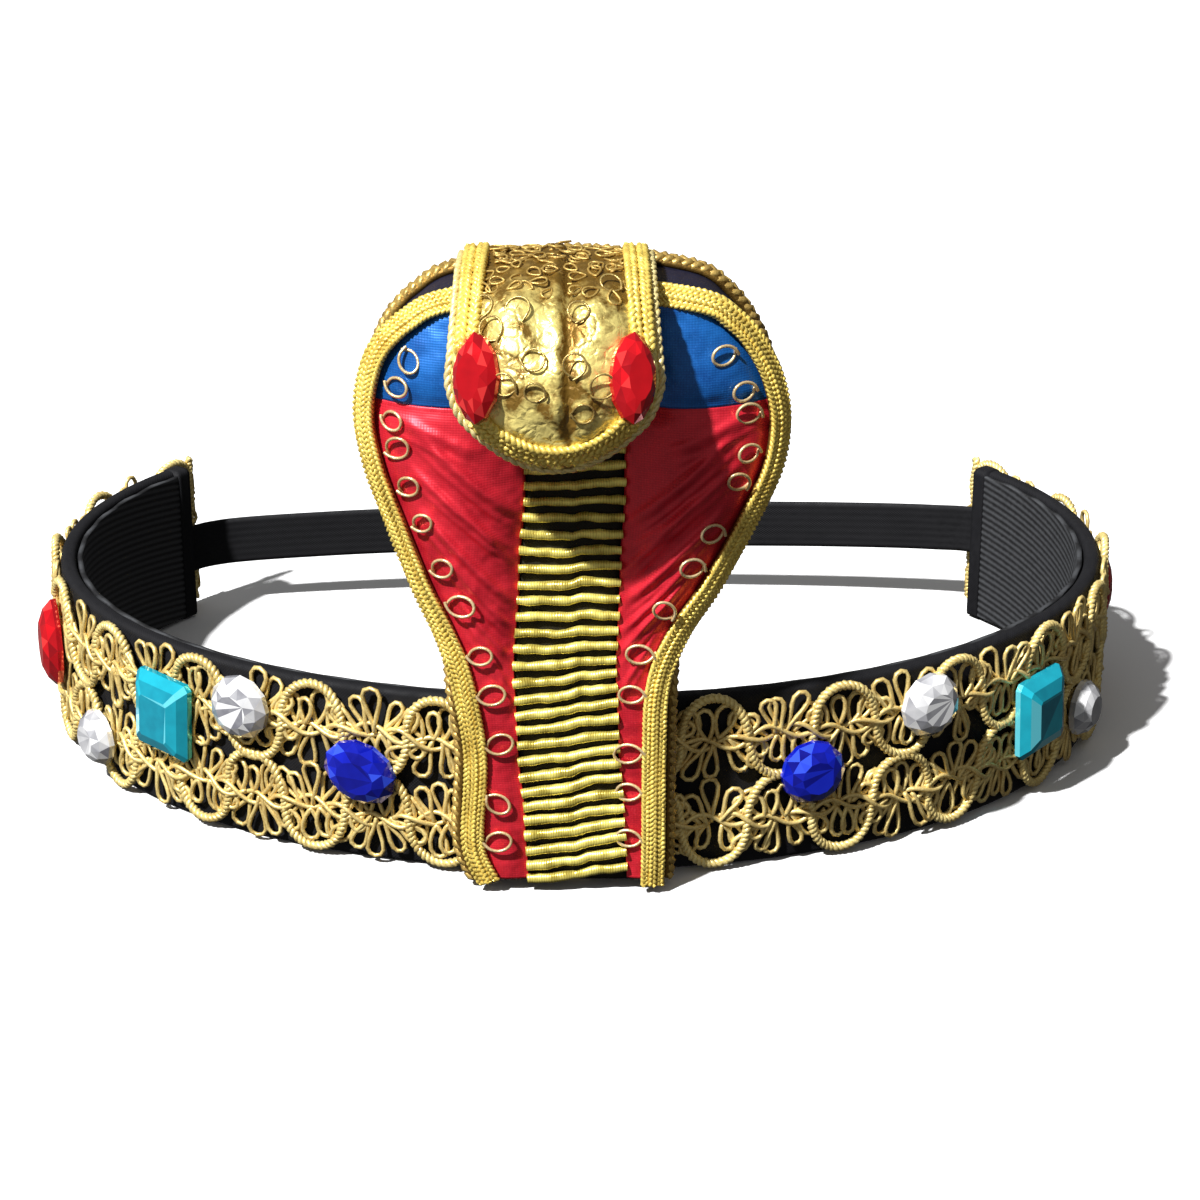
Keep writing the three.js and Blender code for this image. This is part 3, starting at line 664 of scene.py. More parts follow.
def makeStrap():
    s = strapSizes
    arms = []
    for side in (-1, 1):
        tucked = [bandPoint(side * (halfBand - inside), -bandSizes["wall"] + s["tuckIn"], 0)
                  for inside in (s["tuck"], s["tuck"] / 2, s["tuckEnd"])]
        arms.append(tucked + [place(side * out, back, 0) for out, back in s["places"]])
    path = arms[0] + [place(0, s["back"], 0)] + arms[1][::-1]
    section, across = [], 4 * s["ribs"]
    for face in (1, -1):
        for k in range(across + 1):
            share = k / across
            full = min(1, min(share, 1 - share) * 14) ** 0.5  # the two edges thin out
            rib = s["ribHeight"] * math.cos(math.pi * share * s["ribs"]) ** 2
            deep = (s["thick"] / 2 - rib) * (s["edge"] + (1 - s["edge"]) * full)
            section.append((face * deep, (share - 0.5) * face * s["width"]))
    rings = []
    for i in range(s["steps"] + 1):
        share = i / s["steps"]
        here = smoothPath(path, share)
        way = (smoothPath(path, share + 0.004) - smoothPath(path, share - 0.004)).normalized()
        side = Vector((-way.y, way.x, 0)) * mm
        leaning = lerp(s["left"], s["right"], share)
        middle = leaning - s["sag"] * math.sin(math.pi * share)
        rings.append([here + side * deep + upWay * mm * (middle + up) for deep, up in section])
    strap = loft("elasticStrap", rings, finishes["elastic"], lambda i, j: (j * 0.3, i * 1.7))
    settle(strap, "elastic", "elastic_strap")


makeStrap()


# Lace, drawn flat (length, height, distance outwards) and then wrapped on the band
laceSizes = {"cells": 33, "past": 5.5, "cupDepth": 6.75, "cupSpread": (0.93, 1.03), "cupSteps": 18,
             "lean": 0.5, "gimpWide": 0.36, "gimpThread": 0.44, "gimpPitch": 1.6, "gimpStep": 0.3,
             "cord": 0.37, "standOff": 0.3, "spineSwing": 1.0, "spineDeep": 0.28, "spineSteps": 6,
             "spineStep": 0.6, "wobble": 12, "shake": 0.35, "loopSpread": (0.82, 1.1), "curl": (2.1, 3.1),
             "curlOut": 0.9, "endLine": 0.8, "floorGap": 0.8, "seed": 41,
             # loops in each cup and on its open side: count, length, width, root, spacing, fan
             "inner": (4, 5.1, 2.6, 0.2, 1.8, 12), "outer": (5, 6.9, 2.6, 0.1, 1.0, 25),
             # each row's middle height, and 0 or 1 for a first cup that hangs or stands
             "rows": {"lace_lower": (7.8, 0), "lace_upper": (21.2, 1)}}


def wrapTree():
    graph, source = newTree("wrap on band", [("Line", "Object", None)])
    line = graph.add("GeometryNodeObjectInfo", None, {"Object": source.out("Line")}, out="Geometry")
    line = graph.add("GeometryNodeMeshToCurve", None, {"Mesh": line})
    spot = graph.add("ShaderNodeSeparateXYZ", None, {0: graph.add("GeometryNodeInputPosition")})
    found = graph.add("GeometryNodeSampleCurve", {"mode": "LENGTH"},
                      {"Curves": line, "Length": spot.out("X")}, out="Position")
    outward = graph.vector("CROSS_PRODUCT", found.out("Tangent"), (0.0, 0.0, 1.0))
    raised = graph.add("ShaderNodeCombineXYZ", None, {"Z": spot.out("Y")})
    moved = graph.vector("ADD", graph.vector("ADD", found, raised),
                         graph.vector("SCALE", outward, spot.out("Z")))
    wrapped = graph.add("GeometryNodeSetPosition", None, {"Geometry": source, "Position": moved})
    return endTree(graph, source, wrapped)


def flatPoint(along, up, out):
    return Vector((along * mm, up * mm, out * mm))


def makeLace(node, middle, firstTurn, bandLine, wrap):
    s = laceSizes
    rng = random.Random(s["seed"] + firstTurn)
    cell = (bandLength + 2 * s["past"]) / s["cells"]
    out = s["standOff"]
    gimpRadius = s["gimpWide"] + s["gimpThread"]
    gimp, spine, drops, stems = [], [], [], []
    for c in range(s["cells"]):
        side = 1 if (c + firstTurn) % 2 == 0 else -1  # 1 is a cup below with its fan above
        centre = (c + 0.5) * cell
        depth = s["cupDepth"] * rng.uniform(*s["cupSpread"])
        lean = rng.uniform(-s["lean"], s["lean"])
        for k in range(s["cupSteps"]):
            angle = math.pi * k / s["cupSteps"]
            swell = 1 + 0.08 * math.sin(angle) ** 2
            gimp.append(flatPoint(centre - cell / 2 * math.cos(angle) * swell + lean * math.sin(angle),
                                  middle - side * depth * math.sin(angle),
                                  out + gimpRadius + 0.15 + 0.15 * math.sin(3 * angle + c)))
        for k in range(s["spineSteps"]):
            share = k / s["spineSteps"]
            spine.append(flatPoint((c + share) * cell, middle + side * 0.7 * math.sin(math.pi * share),
                                   out + 0.6 + 0.8 * (0.5 + 0.5 * math.cos(tau * share))))
        for kind, way, (count, long, wide, root, spacing, fan) in ((drops, -side, s["inner"]),
                                                                   (stems, side, s["outer"])):
            for k in (n - (count - 1) / 2 for n in range(count)):
                turn = k * fan + rng.uniform(-s["wobble"], s["wobble"])
                aim = math.radians(turn if way < 0 else -turn) + (math.pi if way < 0 else 0)
                size = rng.uniform(*s["loopSpread"]) * (1 - 0.06 * abs(k))
                if way < 0:
                    size = min(size, (middle - s["floorGap"]) / long)  # no loop reaches the floor
                kind.append((flatPoint(centre + k * spacing + rng.uniform(-s["shake"], s["shake"]),
                                       middle + way * root + rng.uniform(-0.3, 0.3),
                                       out + s["cord"] + rng.uniform(0.05, 0.6)),
                             (rng.uniform(-0.1, 0.04), rng.uniform(-0.12, 0.12), aim),
                             reach(wide * size * rng.uniform(0.9, 1.1), long * size)))
        for curlWay in (-1, 1):  # small curls where two cells meet
            drops.append((flatPoint(c * cell + rng.uniform(-1.2, 1.2),
                                    middle + curlWay * rng.uniform(0.2, 1.2), out + s["curlOut"]),
                          (0.0, 0.0, rng.uniform(-1.0, 1.0) + (math.pi if curlWay < 0 else 0)),
                          reach(s["curl"][0], s["curl"][1] * rng.uniform(0.8, 1.2))))
    ends = [[flatPoint(along + 0.25 * math.sin(k), middle + s["cupDepth"] * (k / 6 - 1), out + gimpRadius)
             for k in range(13)] for along in (s["endLine"], bandLength + 2 * s["past"] - s["endLine"])]
    outWays = lambda points: [(0, 0, 1)] * len(points)
    thread = {"Thread": s["cord"]}
    drawn = [
        (grow("gimp", lineMesh("gimpLine", line, outWays(line)), pairTree, finishes["gimp"], {
            "Wide": s["gimpWide"], "Deep": s["gimpWide"], "Pitch": s["gimpPitch"],
            "Thread": s["gimpThread"], "Step": s["gimpStep"]}), "gimp")
        for line in (gimp, *ends)]
    drawn += [
        (grow("spine", lineMesh("spineLine", spine, outWays(spine)), pairTree, finishes["lace"], {
            **thread, "Wide": s["spineSwing"], "Deep": s["spineDeep"], "Pitch": cell,
            "Step": s["spineStep"]}), "lace"),
        (grow("drops", pointMesh("dropPoints", drops), dropTree, finishes["lace"], thread), "lace"),
        (grow("stems", pointMesh("stemPoints", stems), stemTree, finishes["lace"], thread), "lace")]
    parts = []
    for flatPart, finish in drawn:
        parts.append(grow("wrapped", flatPart.data, wrap, finishes[finish], {}, {"Line": bandLine}))
        bpy.data.objects.remove(flatPart)
    settle(joined(node + "Cord", parts), "gold_lace", node)


lineEnd, lineSteps = halfBand + laceSizes["past"], 400
bandLine = newPiece("bandLine", lineMesh("bandLine", [
    bandPoint(lerp(-lineEnd, lineEnd, i / lineSteps), 0, 0) for i in range(lineSteps + 1)]))
onBand = wrapTree()
for laceNode, (laceMiddle, laceTurn) in laceSizes["rows"].items():
    makeLace(laceNode, laceMiddle, laceTurn, bandLine, onBand)
bpy.data.objects.remove(bandLine)


# Hood: outline, front and rear as in the part's source
hoodSizes = {
    # outline: height, half width on the left and on the right
    "rows": ((1.2, 14.6, 12.6), (8, 16.8, 12.7), (22, 16.2, 12.7), (33, 17.7, 13.1), (41, 19.8, 15.5),
             (48, 22.7, 19.7), (57, 26, 24.4), (65, 28.8, 28), (72, 30.1, 29), (78, 29.5, 28),
             (83, 27.6, 25.7), (87.3, 23.6, 22.3), (90.6, 17.2, 16.6)),
    "top": 92.6, "topAside": -0.4, "baseFront": -71.6, "bow": 1.6, "sweep": 0.00625, "sweepFrom": 8.3,
    "rearLow": -69, "rearHigh": -59, "rearFrom": 29, "rearTo": 44, "rearNarrow": 0.94, "puff": 2.2,
    "pucker": 0.35, "wave": 0.35, "gussetSink": 0.45, "gussetCrease": 0.3, "behind": 0.25, "flatShare": 0.985,
    "steps": 90, "across": 24, "gusset": 8}

hoodLine = [Vector((right, up)) for up, left, right in hoodSizes["rows"]]
hoodLine += [Vector((hoodSizes["topAside"], hoodSizes["top"]))]
hoodLine += [Vector((-left, up)) for up, left, right in reversed(hoodSizes["rows"])]


def hoodCurve(share):
    at = min(max(share, 0), 1) * (len(hoodLine) - 1)
    i = min(int(at), len(hoodLine) - 2)
    p = [hoodLine[min(max(k, 0), len(hoodLine) - 1)] for k in range(i - 1, i + 3)]
    return between(p[1], p[2], (p[2] - p[0]) / 2, (p[3] - p[1]) / 2, at - i)


def hoodWay(share):
    return (hoodCurve(share + 0.0005) - hoodCurve(share - 0.0005)).normalized()


def hoodEdge(share, inset):
    way = hoodWay(share)
    return hoodCurve(share) - Vector((way.y, -way.x)) * inset


def hoodFront(x, up):
    beyond = max(0, abs(x) - hoodSizes["sweepFrom"])
    return (hoodSizes["baseFront"] - hoodSizes["bow"] * math.sin(math.pi * up / hoodSizes["top"])
            + hoodSizes["sweep"] * beyond ** 2)


def hoodRear(up):  # how far back, and what share of the front's width
    rise = smooth(up, hoodSizes["rearFrom"], hoodSizes["rearTo"])
    return lerp(hoodSizes["rearLow"], hoodSizes["rearHigh"], rise), lerp(1, hoodSizes["rearNarrow"], rise)


def hoodSide(side, share, inset):  # by the share from that side's base, half at the top
    return hoodEdge(share if side > 0 else 1 - share, inset)


def hoodShareAt(side, up, inset):
    low, high = 0.0, 0.5
    for halving in range(30):
        middle = (low + high) / 2
        low, high = (middle, high) if hoodSide(side, middle, inset).y < up else (low, middle)
    return low


def frontFacing(x, up):  # the way the hood's front looks at a place
    slope = (hoodFront(x + 0.1, up) - hoodFront(x - 0.1, up)) / 0.2
    rise = (hoodFront(x, up + 0.1) - hoodFront(x, up - 0.1)) / 0.2
    return Vector((slope, -1, rise)).normalized()


def gussetPoints(x, up, half, sign):  # front to back, sunk a little between its two seams
    s = hoodSizes
    rear, narrow = hoodRear(up)
    points = []
    for j in range(1, s["gusset"]):
        share = j / s["gusset"]
        swell = math.sin(math.pi * share)
        sink = s["gussetSink"] * swell * min(1, half / 6)
        crease = s["gussetCrease"] * ripple(20 - 20 * sign, share * 9, up + half, 3.1) * swell
        points.append(place(x * lerp(1, narrow, share) - sign * (sink - crease),
                            lerp(hoodFront(x, up) + s["behind"], rear, share), up - sink * (half < 12)))
    return points


def makeHoodPad():
    s = hoodSizes
    rings = []
    for i in range(s["steps"] + 1):
        left, right = (hoodSide(side, i / s["steps"] / 2, 0) for side in (-1, 1))
        up, middle, half = right.y, (left.x + right.x) / 2, max((right.x - left.x) / 2, 0.0)
        rear, narrow = hoodRear(up)
        ring = []
        for j in range(s["across"] + 1):  # front, left to right
            x = middle + half * s["flatShare"] * (2 * j / s["across"] - 1)
            ring.append(place(x, hoodFront(x, up) + s["behind"], up))
        ring += gussetPoints(right.x, up, half, 1)
        for j in range(s["across"] + 1):  # back, right to left
            x = half * s["flatShare"] * (1 - 2 * j / s["across"])
            inside = 1 - (x / max(half, 1e-3)) ** 2
            full = s["puff"] * inside ** 0.6 * smooth(up, 34, 52) * smooth(s["top"] + 1.5 - up, 0, 14)
            near = (1 - inside) * smooth(up, 30, 45)
            seams = s["pucker"] * ripple(x * 0.6, 0, up * 1.8, 3.4, 5) * near
            wrinkle = seams + s["wave"] * ripple(x, 0, up, 9, 2)
            ring.append(place((middle + x) * narrow, rear + (full + wrinkle * smooth(up, 30, 42)), up))
        ring += gussetPoints(left.x, up, half, -1)[::-1]
        rings.append(ring)
    pad = loft("hoodPad", rings, finishes["hood"], lambda i, j: (j * 1.6, i * 1.2))
    settle(pad, "hood_fabric", "hood_pad")


makeHoodPad()

clothSizes = {"stand": 0.85, "wall": 0.4, "pillow": (0.7, 3.3), "wing": (38, 66), "hem": 0.6,
              "hemWidth": 1.5, "braidInset": 1.7, "bellyGap": -0.3, "least": 0.4, "low": 2, "line": 75.2,
              "high": 89.3, "crumple": 0.14, "tuckUnder": 0.5, "turnIn": (2, 1), "redGrid": (240, 48),
              "blueGrid": (40, 34),
              # folds from near the braid to near the belly: share across and height of both ends,
              # width, height
              "folds": ((0.68, 71.0, 0.04, 59.0, 1.0, 1.0), (0.78, 66.5, 0.1, 54.5, 0.8, 0.8),
                        (0.55, 64.0, 0.03, 51.0, 0.7, 0.65), (0.78, 60.5, 0.05, 46.5, 0.9, 1.0),
                        (0.74, 54.5, 0.05, 42.0, 0.7, 0.8), (0.72, 48.0, 0.05, 37.5, 0.7, 0.75),
                        (0.84, 73.8, 0.3, 69.4, 1.1, 0.5), (0.65, 42.0, 0.1, 33.0, 0.6, 0.5))}

# belly strip: height, middle and half width, as in the part's source
bellyRows = ((1.8, 0, 7.5), (12, -0.45, 7.45), (24, -1.3, 7.5), (36, -1.7, 7.5), (50, -1, 7.3),
             (63, -0.2, 7.15), (76.5, 0, 7))


def bellyAt(up):
    after = next((i for i, row in enumerate(bellyRows) if up < row[0]), len(bellyRows) - 1)
    (low, *start), (high, *end) = bellyRows[max(after, 1) - 1], bellyRows[max(after, 1)]
    return [lerp(a, b, smooth(up, low, high)) for a, b in zip(start, end)]


def panelAcross(side, up, share):  # a place on the cloth of one side, from the belly to the braid
    inset = clothSizes["braidInset"]
    middle, half = bellyAt(up)
    outer = hoodSide(side, hoodShareAt(side, up, inset), inset).x
    inner = middle + side * (half + clothSizes["bellyGap"])
    if (outer - inner) * side < clothSizes["least"]:
        inner = outer - side * clothSizes["least"]
    return lerp(inner, outer, share)


def sideFolds(side):  # fold lines of one side, each side's a little different
    lines = []
    for n, (fromShare, fromUp, toShare, toUp, width, high) in enumerate(clothSizes["folds"]):
        shift = ripple(n * 3.7, side * 4.2, 0, 1) * 1.6
        start = Vector((panelAcross(side, fromUp, fromShare), fromUp + shift))
        lines.append((start, Vector((panelAcross(side, toUp, toShare), toUp + shift)) - start, width, high))
    return lines


def foldHeight(x, up, side, lines):
    rise = 0.0
    for start, run, width, high in lines:
        spot = Vector((x, up)) - start
        share = spot.dot(run) / run.length_squared
        off = (run.x * spot.y - run.y * spot.x) / run.length * side
        fade = smooth(share, -0.12, 0.3) * smooth(1.15 - share, 0, 0.35)
        slope = width * (0.55 if off < 0 else 1.25)  # a steep side and a slow one
        echo = 0.4 * math.exp(-((off - 2 * width) / 0.4) ** 2)  # a second, finer crease
        rise += high * (math.exp(-(off / slope) ** 2) + echo) * fade
    return rise


def clothRise(side, up, share, inner, outer, lines):  # how far the cloth stands before the hood
    s = clothSizes
    x = lerp(inner, outer, share)
    full = lerp(*s["pillow"], smooth(up, *s["wing"])) * max(0, math.sin(math.pi * share)) ** 0.85
    full *= min(1, abs(outer - inner) / 7) * (1 - 0.5 * smooth(up, 78, s["high"]))
    pull = foldHeight(x, up, side, lines) * min(1, math.sin(math.pi * min(0.5, share * 1.5 + 0.08)))
    small = s["crumple"] * (ripple(x, up * 0.7, side, 2.6) + 0.6 * ripple(x, up, side, 1.2, 3))
    hem = s["hem"] * math.exp(-((up - s["line"]) / s["hemWidth"]) ** 2)  # the colours meet in a sewn dip
    under = s["tuckUnder"] * smooth(share, 0.86, 1.0)  # it runs in under the braid
    creases = (pull + small) * smooth(1.04 - share, 0, 0.2)
    return s["stand"] + full + creases - hem * smooth(1 - share, 0, 0.1) - under


def clothFront(side, x, up, lines):  # where the cloth's face is, at any place on one side
    inner, outer = (panelAcross(side, up, share) for share in (0, 1))
    share = min(1, max(0, (x - inner) / (outer - inner)))
    return hoodFront(x, up) - clothRise(side, up, share, inner, outer, lines)


def makeHoodCloth(name, node, side, low, high, rows, columns, finish, slot):
    lines = sideFolds(side)
    rings, widths = [], []
    for i in range(rows + 1):
        up = lerp(low, high, i / rows)
        inner, outer = panelAcross(side, up, 0), panelAcross(side, up, 1)
        widths.append(abs(outer - inner))
        ring = []
        for j in range(columns + 1):
            share = j / columns
            x = lerp(inner, outer, share)
            rise = clothRise(side, up, share, inner, outer, lines)
            ring.append(place(x, hoodFront(x, up) - rise, up))
        rings.append(ring)
    flatAt = lambda i, j: (widths[i] * j / columns, (high - low) * i / rows)
    cloth = loft(name, rings, finish, flatAt, False, False)
    faceFront(cloth)
    thicken(cloth, "cloth thickness", clothSizes["wall"])
    settle(cloth, slot, node)
    aside, above = (turnIn * mm for turnIn in clothSizes["turnIn"])
    flat = (round(max(widths) * mm + aside, 4), round((high - low) * mm + above, 4))


for clothSide, sideName in ((1, "right"), (-1, "left")):
    makeHoodCloth("redCloth." + sideName, "hood_red_" + sideName, clothSide, clothSizes["low"],
                  clothSizes["line"], *clothSizes["redGrid"], finishes["red"], "red_cloth")
    makeHoodCloth("blueCloth." + sideName, "hood_blue_" + sideName, clothSide, clothSizes["line"],
                  clothSizes["high"], *clothSizes["blueGrid"], finishes["blue"], "blue_cloth")

bellySizes = {"ribs": 31, "ribRadius": 0.64, "stand": 1.1, "crease": 0.42, "wander": 0.7, "ends": 0.9,
              "seed": 7.0, "climb": (0.09, 0.02), "margin": 0.1, "clothStand": 0.3, "clothBow": 0.55,
              "clothWall": 0.3, "rows": 70, "columns": 12}


def pleatTree():
    # a gold rib on each point up the belly, turned and sized by the points' attributes
    graph, source = newTree("belly ribs", [
        ("Radius", "Float", 0.0006), ("Crease", "Float", 0.0004), ("Wander", "Float", 0.0007),
        ("Seed", "Float", 1.0)])
    rib = graph.add("GeometryNodeCurvePrimitiveLine", None,
                    {"Start": (-1.0, 0.0, 0.0), "End": (1.0, 0.0, 0.0)})
    rib = graph.add("GeometryNodeResampleCurve", None, {"Curve": rib, "Count": 48})
    lines = graph.onPoints(source, rib)
    spot = graph.add("GeometryNodeInputPosition")
    shifted = graph.vector("ADD", spot, graph.add("ShaderNodeCombineXYZ", None, {"Y": source.out("Seed")}))
    noiseAt = lambda scale: graph.add("ShaderNodeTexNoise", None,
                                      {"Vector": shifted, "Scale": scale, "Detail": 1.0}) - 0.5
    share = graph.add("GeometryNodeSplineParameter", out="Factor")
    step = graph.spread(share, 0.5, 0.62)  # past the middle crease each rib stands a little higher
    climb = step * source.out("Crease") + (noiseAt(170.0) + noiseAt(520.0) * 0.5) * source.out("Wander")
    moved = graph.add("ShaderNodeCombineXYZ", None, {"Y": noiseAt(420.0) * source.out("Wander"), "Z": climb})
    lines = graph.add("GeometryNodeSetPosition", None, {"Geometry": lines, "Offset": moved})
    height = graph.add("ShaderNodeSeparateXYZ", None, {"Vector": spot}, out="Z")
    broad = graph.spread(height, 0.0, 0.075, (1.26, 0.98))  # ribs are broader near the floor
    girth = (noiseAt(330.0) * 0.7 + 1) * broad
    return endTree(graph, source, graph.tube(lines, source.out("Radius"), 8, girth))


def makeBelly():
    s = bellySizes
    low, high = bellyRows[0][0], bellyRows[-1][0]
    across = [2 * j / s["columns"] - 1 for j in range(s["columns"] + 1)]
    rings = []
    for i in range(s["rows"] + 1):
        up = lerp(low, high, i / s["rows"])
        middle, half = bellyAt(up)
        rings.append([place(middle + half * a,
                            hoodFront(half * a, up) - s["clothStand"] - s["clothBow"] * (1 - a ** 6), up)
                      for a in across])
    base = loft("bellyCloth", rings, finishes["bellyCloth"], lambda i, j: (j * 1.25, i * 1.07), False, False)
    faceFront(base)
    thicken(base, "cloth thickness", s["clothWall"])
    settle(base, "gold_pleats")
    starts = []
    for i in range(s["ribs"]):
        up = lerp(low + s["ends"], high - s["ends"], i / (s["ribs"] - 1))
        middle, half = bellyAt(up)
        lean = math.atan((bellyAt(up - 3)[0] - bellyAt(up + 3)[0]) / 6)  # ribs lie square to the strip
        tilt = lean + lerp(*s["climb"], up / high)
        starts.append((place(middle, hoodFront(0, up) - s["stand"], up), (0, -tilt, 0),
                       ((half - s["margin"]) * mm,) * 3))
    ribs = grow("bellyRibs", pointMesh("ribPoints", starts), pleatTree(), finishes["pleats"], {
        "Radius": s["ribRadius"], "Crease": s["crease"], "Wander": s["wander"]}, {"Seed": s["seed"]})
    uv = ribs.data.uv_layers.new(name="cloth")
    for loop in ribs.data.loops:
        spot = ribs.data.vertices[loop.vertex_index].co
        uv.data[loop.index].uv = (spot.x / mm, spot.z / mm)
    settle(ribs, "gold_pleats", "belly_strip")


makeBelly()

braidSizes = {"inset": 1.9, "gap": 0.3, "raise": 1.0, "apart": 1.12, "wide": 0.4, "deep": 0.3, "thread": 0.33,
              "roll": (0.1, 0.6), "pitch": 2.3, "pitchShift": 0.03, "lift": (0.65, 0.5), "laneStart": 0.8,
              "step": 0.38, "coreWide": 3.3, "coreDeep": 1.5, "points": 220, "rearOut": 0.5, "rearBack": 1.5,
              "rearWide": 1.0, "rearDeep": 0.4, "rearThread": 0.58, "rearPitch": 4.0, "rearLift": 0.3,
              "rearStep": 0.5, "rearBase": 1.6, "rearCore": (3.0, 1.7)}


def coreTube(name, points, faces, wide, deep, finish):  # flat oval core that a braid hides; with the braidCore finish its dark colour is painted shade between the strands
    rings = []
    for i, (spot, facing) in enumerate(zip(points, faces)):
        way = (points[min(i + 1, len(points) - 1)] - points[max(i - 1, 0)]).normalized()
        aside = way.cross(facing)
        rings.append([spot + (aside * math.cos(a) * wide + facing * math.sin(a) * deep) * mm / 2
                      for a in (tau * k / 12 for k in range(12))])
    return loft(name, rings, finish)


def makeHoodBraid():
    s = braidSizes
    points, faces = [], []
    for i in range(s["points"] + 1):
        share = i / s["points"]
        edge, way = hoodEdge(share, s["inset"]), hoodWay(share)
        roll = lerp(*s["roll"], smooth(edge.y, 34, 50))
        faces.append((frontFacing(edge.x, edge.y) + Vector((way.y, 0, -way.x)) * roll).normalized())
        base = place(edge.x, hoodFront(edge.x, edge.y), edge.y)
        points.append(base + faces[-1] * (s["gap"] + s["raise"]) * mm)
    parts = [coreTube("braidCore", points, faces, s["coreWide"], s["coreDeep"], finishes["braidCore"])]
    for lane in (-1, 0, 1):
        parts.append(grow("braidPlait", lineMesh("braidLine", points, faces), plaitTree, finishes["braid"], {
            "Wide": s["wide"], "Deep": s["deep"] * (1 if lane else -1), "Thread": s["thread"],
            "Pitch": s["pitch"] * (1 + s["pitchShift"] * lane), "Step": s["step"], "Aside": s["apart"] * lane,
            "Raised": s["lift"][abs(lane)]}, {"Start": s["laneStart"] * lane}))
    settle(joined("hoodBraid", parts), "gold_braid", "hood_braid")


def makeRearBraid():
    s = braidSizes
    start = hoodShareAt(1, s["rearBase"], 0)
    points, faces = [], []
    for i in range(s["points"] + 1):
        share = lerp(start, 1 - start, i / s["points"])
        edge, way = hoodEdge(share, 0), hoodWay(share)
        rear, narrow = hoodRear(edge.y)
        points.append(place(edge.x * narrow + way.y * s["rearOut"], rear - s["rearBack"],
                            edge.y - way.x * s["rearOut"]))
        faces.append(Vector((way.y, 0, -way.x)))
    parts = [coreTube("rearCore", points, faces, *s["rearCore"], finishes["braidCore"]),
             grow("rearPlait", lineMesh("rearLine", points, faces), plaitTree, finishes["rearBraid"], {
                 "Wide": s["rearWide"], "Deep": s["rearDeep"], "Pitch": s["rearPitch"],
                 "Thread": s["rearThread"], "Raised": s["rearLift"], "Step": s["rearStep"]})]
    settle(joined("hoodRearBraid", parts), "gold_braid", "hood_rear_braid")


makeHoodBraid()
makeRearBraid()

ringSizes = {"count": 13, "low": 8.2, "high": 82.4, "crowd": 0.35, "inset": 3.6, "wide": 2.8, "long": 3.6,
             "thread": 0.24, "stand": 0.55, "shake": 0.9, "twist": 0.5, "spread": (0.88, 1.1), "seed": 12}


def makeHoodRings():
    s = ringSizes
    rng = random.Random(s["seed"])
    lines = {side: sideFolds(side) for side in (-1, 1)}
    rows = []
    for side in (-1, 1):
        for i in range(s["count"]):
            share = i / (s["count"] - 1)
            climb = (1 + s["crowd"]) * share - s["crowd"] * share ** 2  # closer together at the top
            up = lerp(s["low"], s["high"], climb) + rng.uniform(-s["shake"], s["shake"])
            at = hoodShareAt(side, up, s["inset"])
            edge, way = hoodSide(side, at, s["inset"]), hoodWay(at if side > 0 else 1 - at)
            aim = math.atan2(way.y, way.x) + rng.uniform(-s["twist"], s["twist"])  # from the braid inwards
            near, middle, far = (clothFront(side, edge.x - math.sin(aim) * out, edge.y + math.cos(aim) * out,
                                            lines[side]) for out in (0, s["long"] / 2, s["long"]))
            lift = s["stand"] + max(0, (near + far) / 2 - middle)
            spot = place(edge.x, near - lift, edge.y)
            tilt = math.atan2(near - far, s["long"])  # each ring lies on the cloth
            size = rng.uniform(*s["spread"])
            rows.append((spot, (math.pi / 2 + tilt, -aim, 0), reach(s["wide"] * size, s["long"] * size)))
    rings = grow("hoodWireRings", pointMesh("ringPoints", rows), ringTree, finishes["wire"],
                 {"Thread": s["thread"]})
    settle(rings, "gold_cord")


makeHoodRings()

headSizes = {"aside": -2.7, "roundFrom": 0.7, "straightSteps": 0.56, "crumple": 0.27, "lumps": 0.35,
             "seam": 1.3, "ridge": 0.5, "groove": 1.1, "steps": 130, "across": 64, "sag": 0.3,
             # how far the brown reaches round each ring, and the width of the painted shade along the seam
             # groove
             "ringDarkReach": 1.25, "seamShadeWidth": 0.8,
             # brows: place across, share along, reach across and along, height
             "brows": ((-5.8, 0.54, 3.2, 0.12, 1.0), (6.8, 0.54, 3.2, 0.12, 1.2), (-4.6, 0.8, 2.6, 0.08, 0.5),
                       (5.2, 0.8, 2.6, 0.08, 0.5)),
             # crown line from the side: front, height, half width, drop to the edge, thickness of the edge
             "rows": ((-63, 94.5, 12.6, 0.5, 1.1), (-67.5, 95, 12.6, 0.6, 1.1), (-72, 95, 12.7, 0.8, 1.1),
                      (-79, 93.7, 12.9, 2, 1.6), (-85, 90.1, 13.3, 3.6, 2), (-89.3, 84.4, 13.8, 4.8, 2.2),
                      (-91, 77.2, 13.9, 5, 2.2), (-90.6, 69.8, 13.9, 4.6, 2.2)),
             "trimStand": 0.4, "trimLow": 0.35, "trimWide": 0.22, "trimThread": 0.4, "trimPitch": 2.6,
             "trimStep": 0.36, "edgeSteps": 60, "braidInset": 1.75, "braidStand": 0.35, "braidFrom": 0.01,
             "braidEnds": (0.63, 0.955), "braidSteps": 40, "braidWide": 0.55, "braidDeep": 0.4,
             "braidPitch": 2.8, "braidThread": 0.44, "braidStep": 0.4, "braidApart": 0.88, "braidStart": 0.7,
             "chinFrom": 34}

crownLine = [Vector((0, *row[:2])) for row in headSizes["rows"]]


def headFrame(share):
    at = min(max(share, 0), 1) * (len(crownLine) - 1)
    i = min(int(at), len(crownLine) - 2)
    before, after = headSizes["rows"][i:i + 2]
    half, drop, edge = (lerp(a, b, at - i) for a, b in zip(before[2:], after[2:]))
    way = (smoothPath(crownLine, share + 0.002) - smoothPath(crownLine, share - 0.002)).normalized()
    return smoothPath(crownLine, share), way, Vector((0, way.z, -way.y)), half, drop, edge


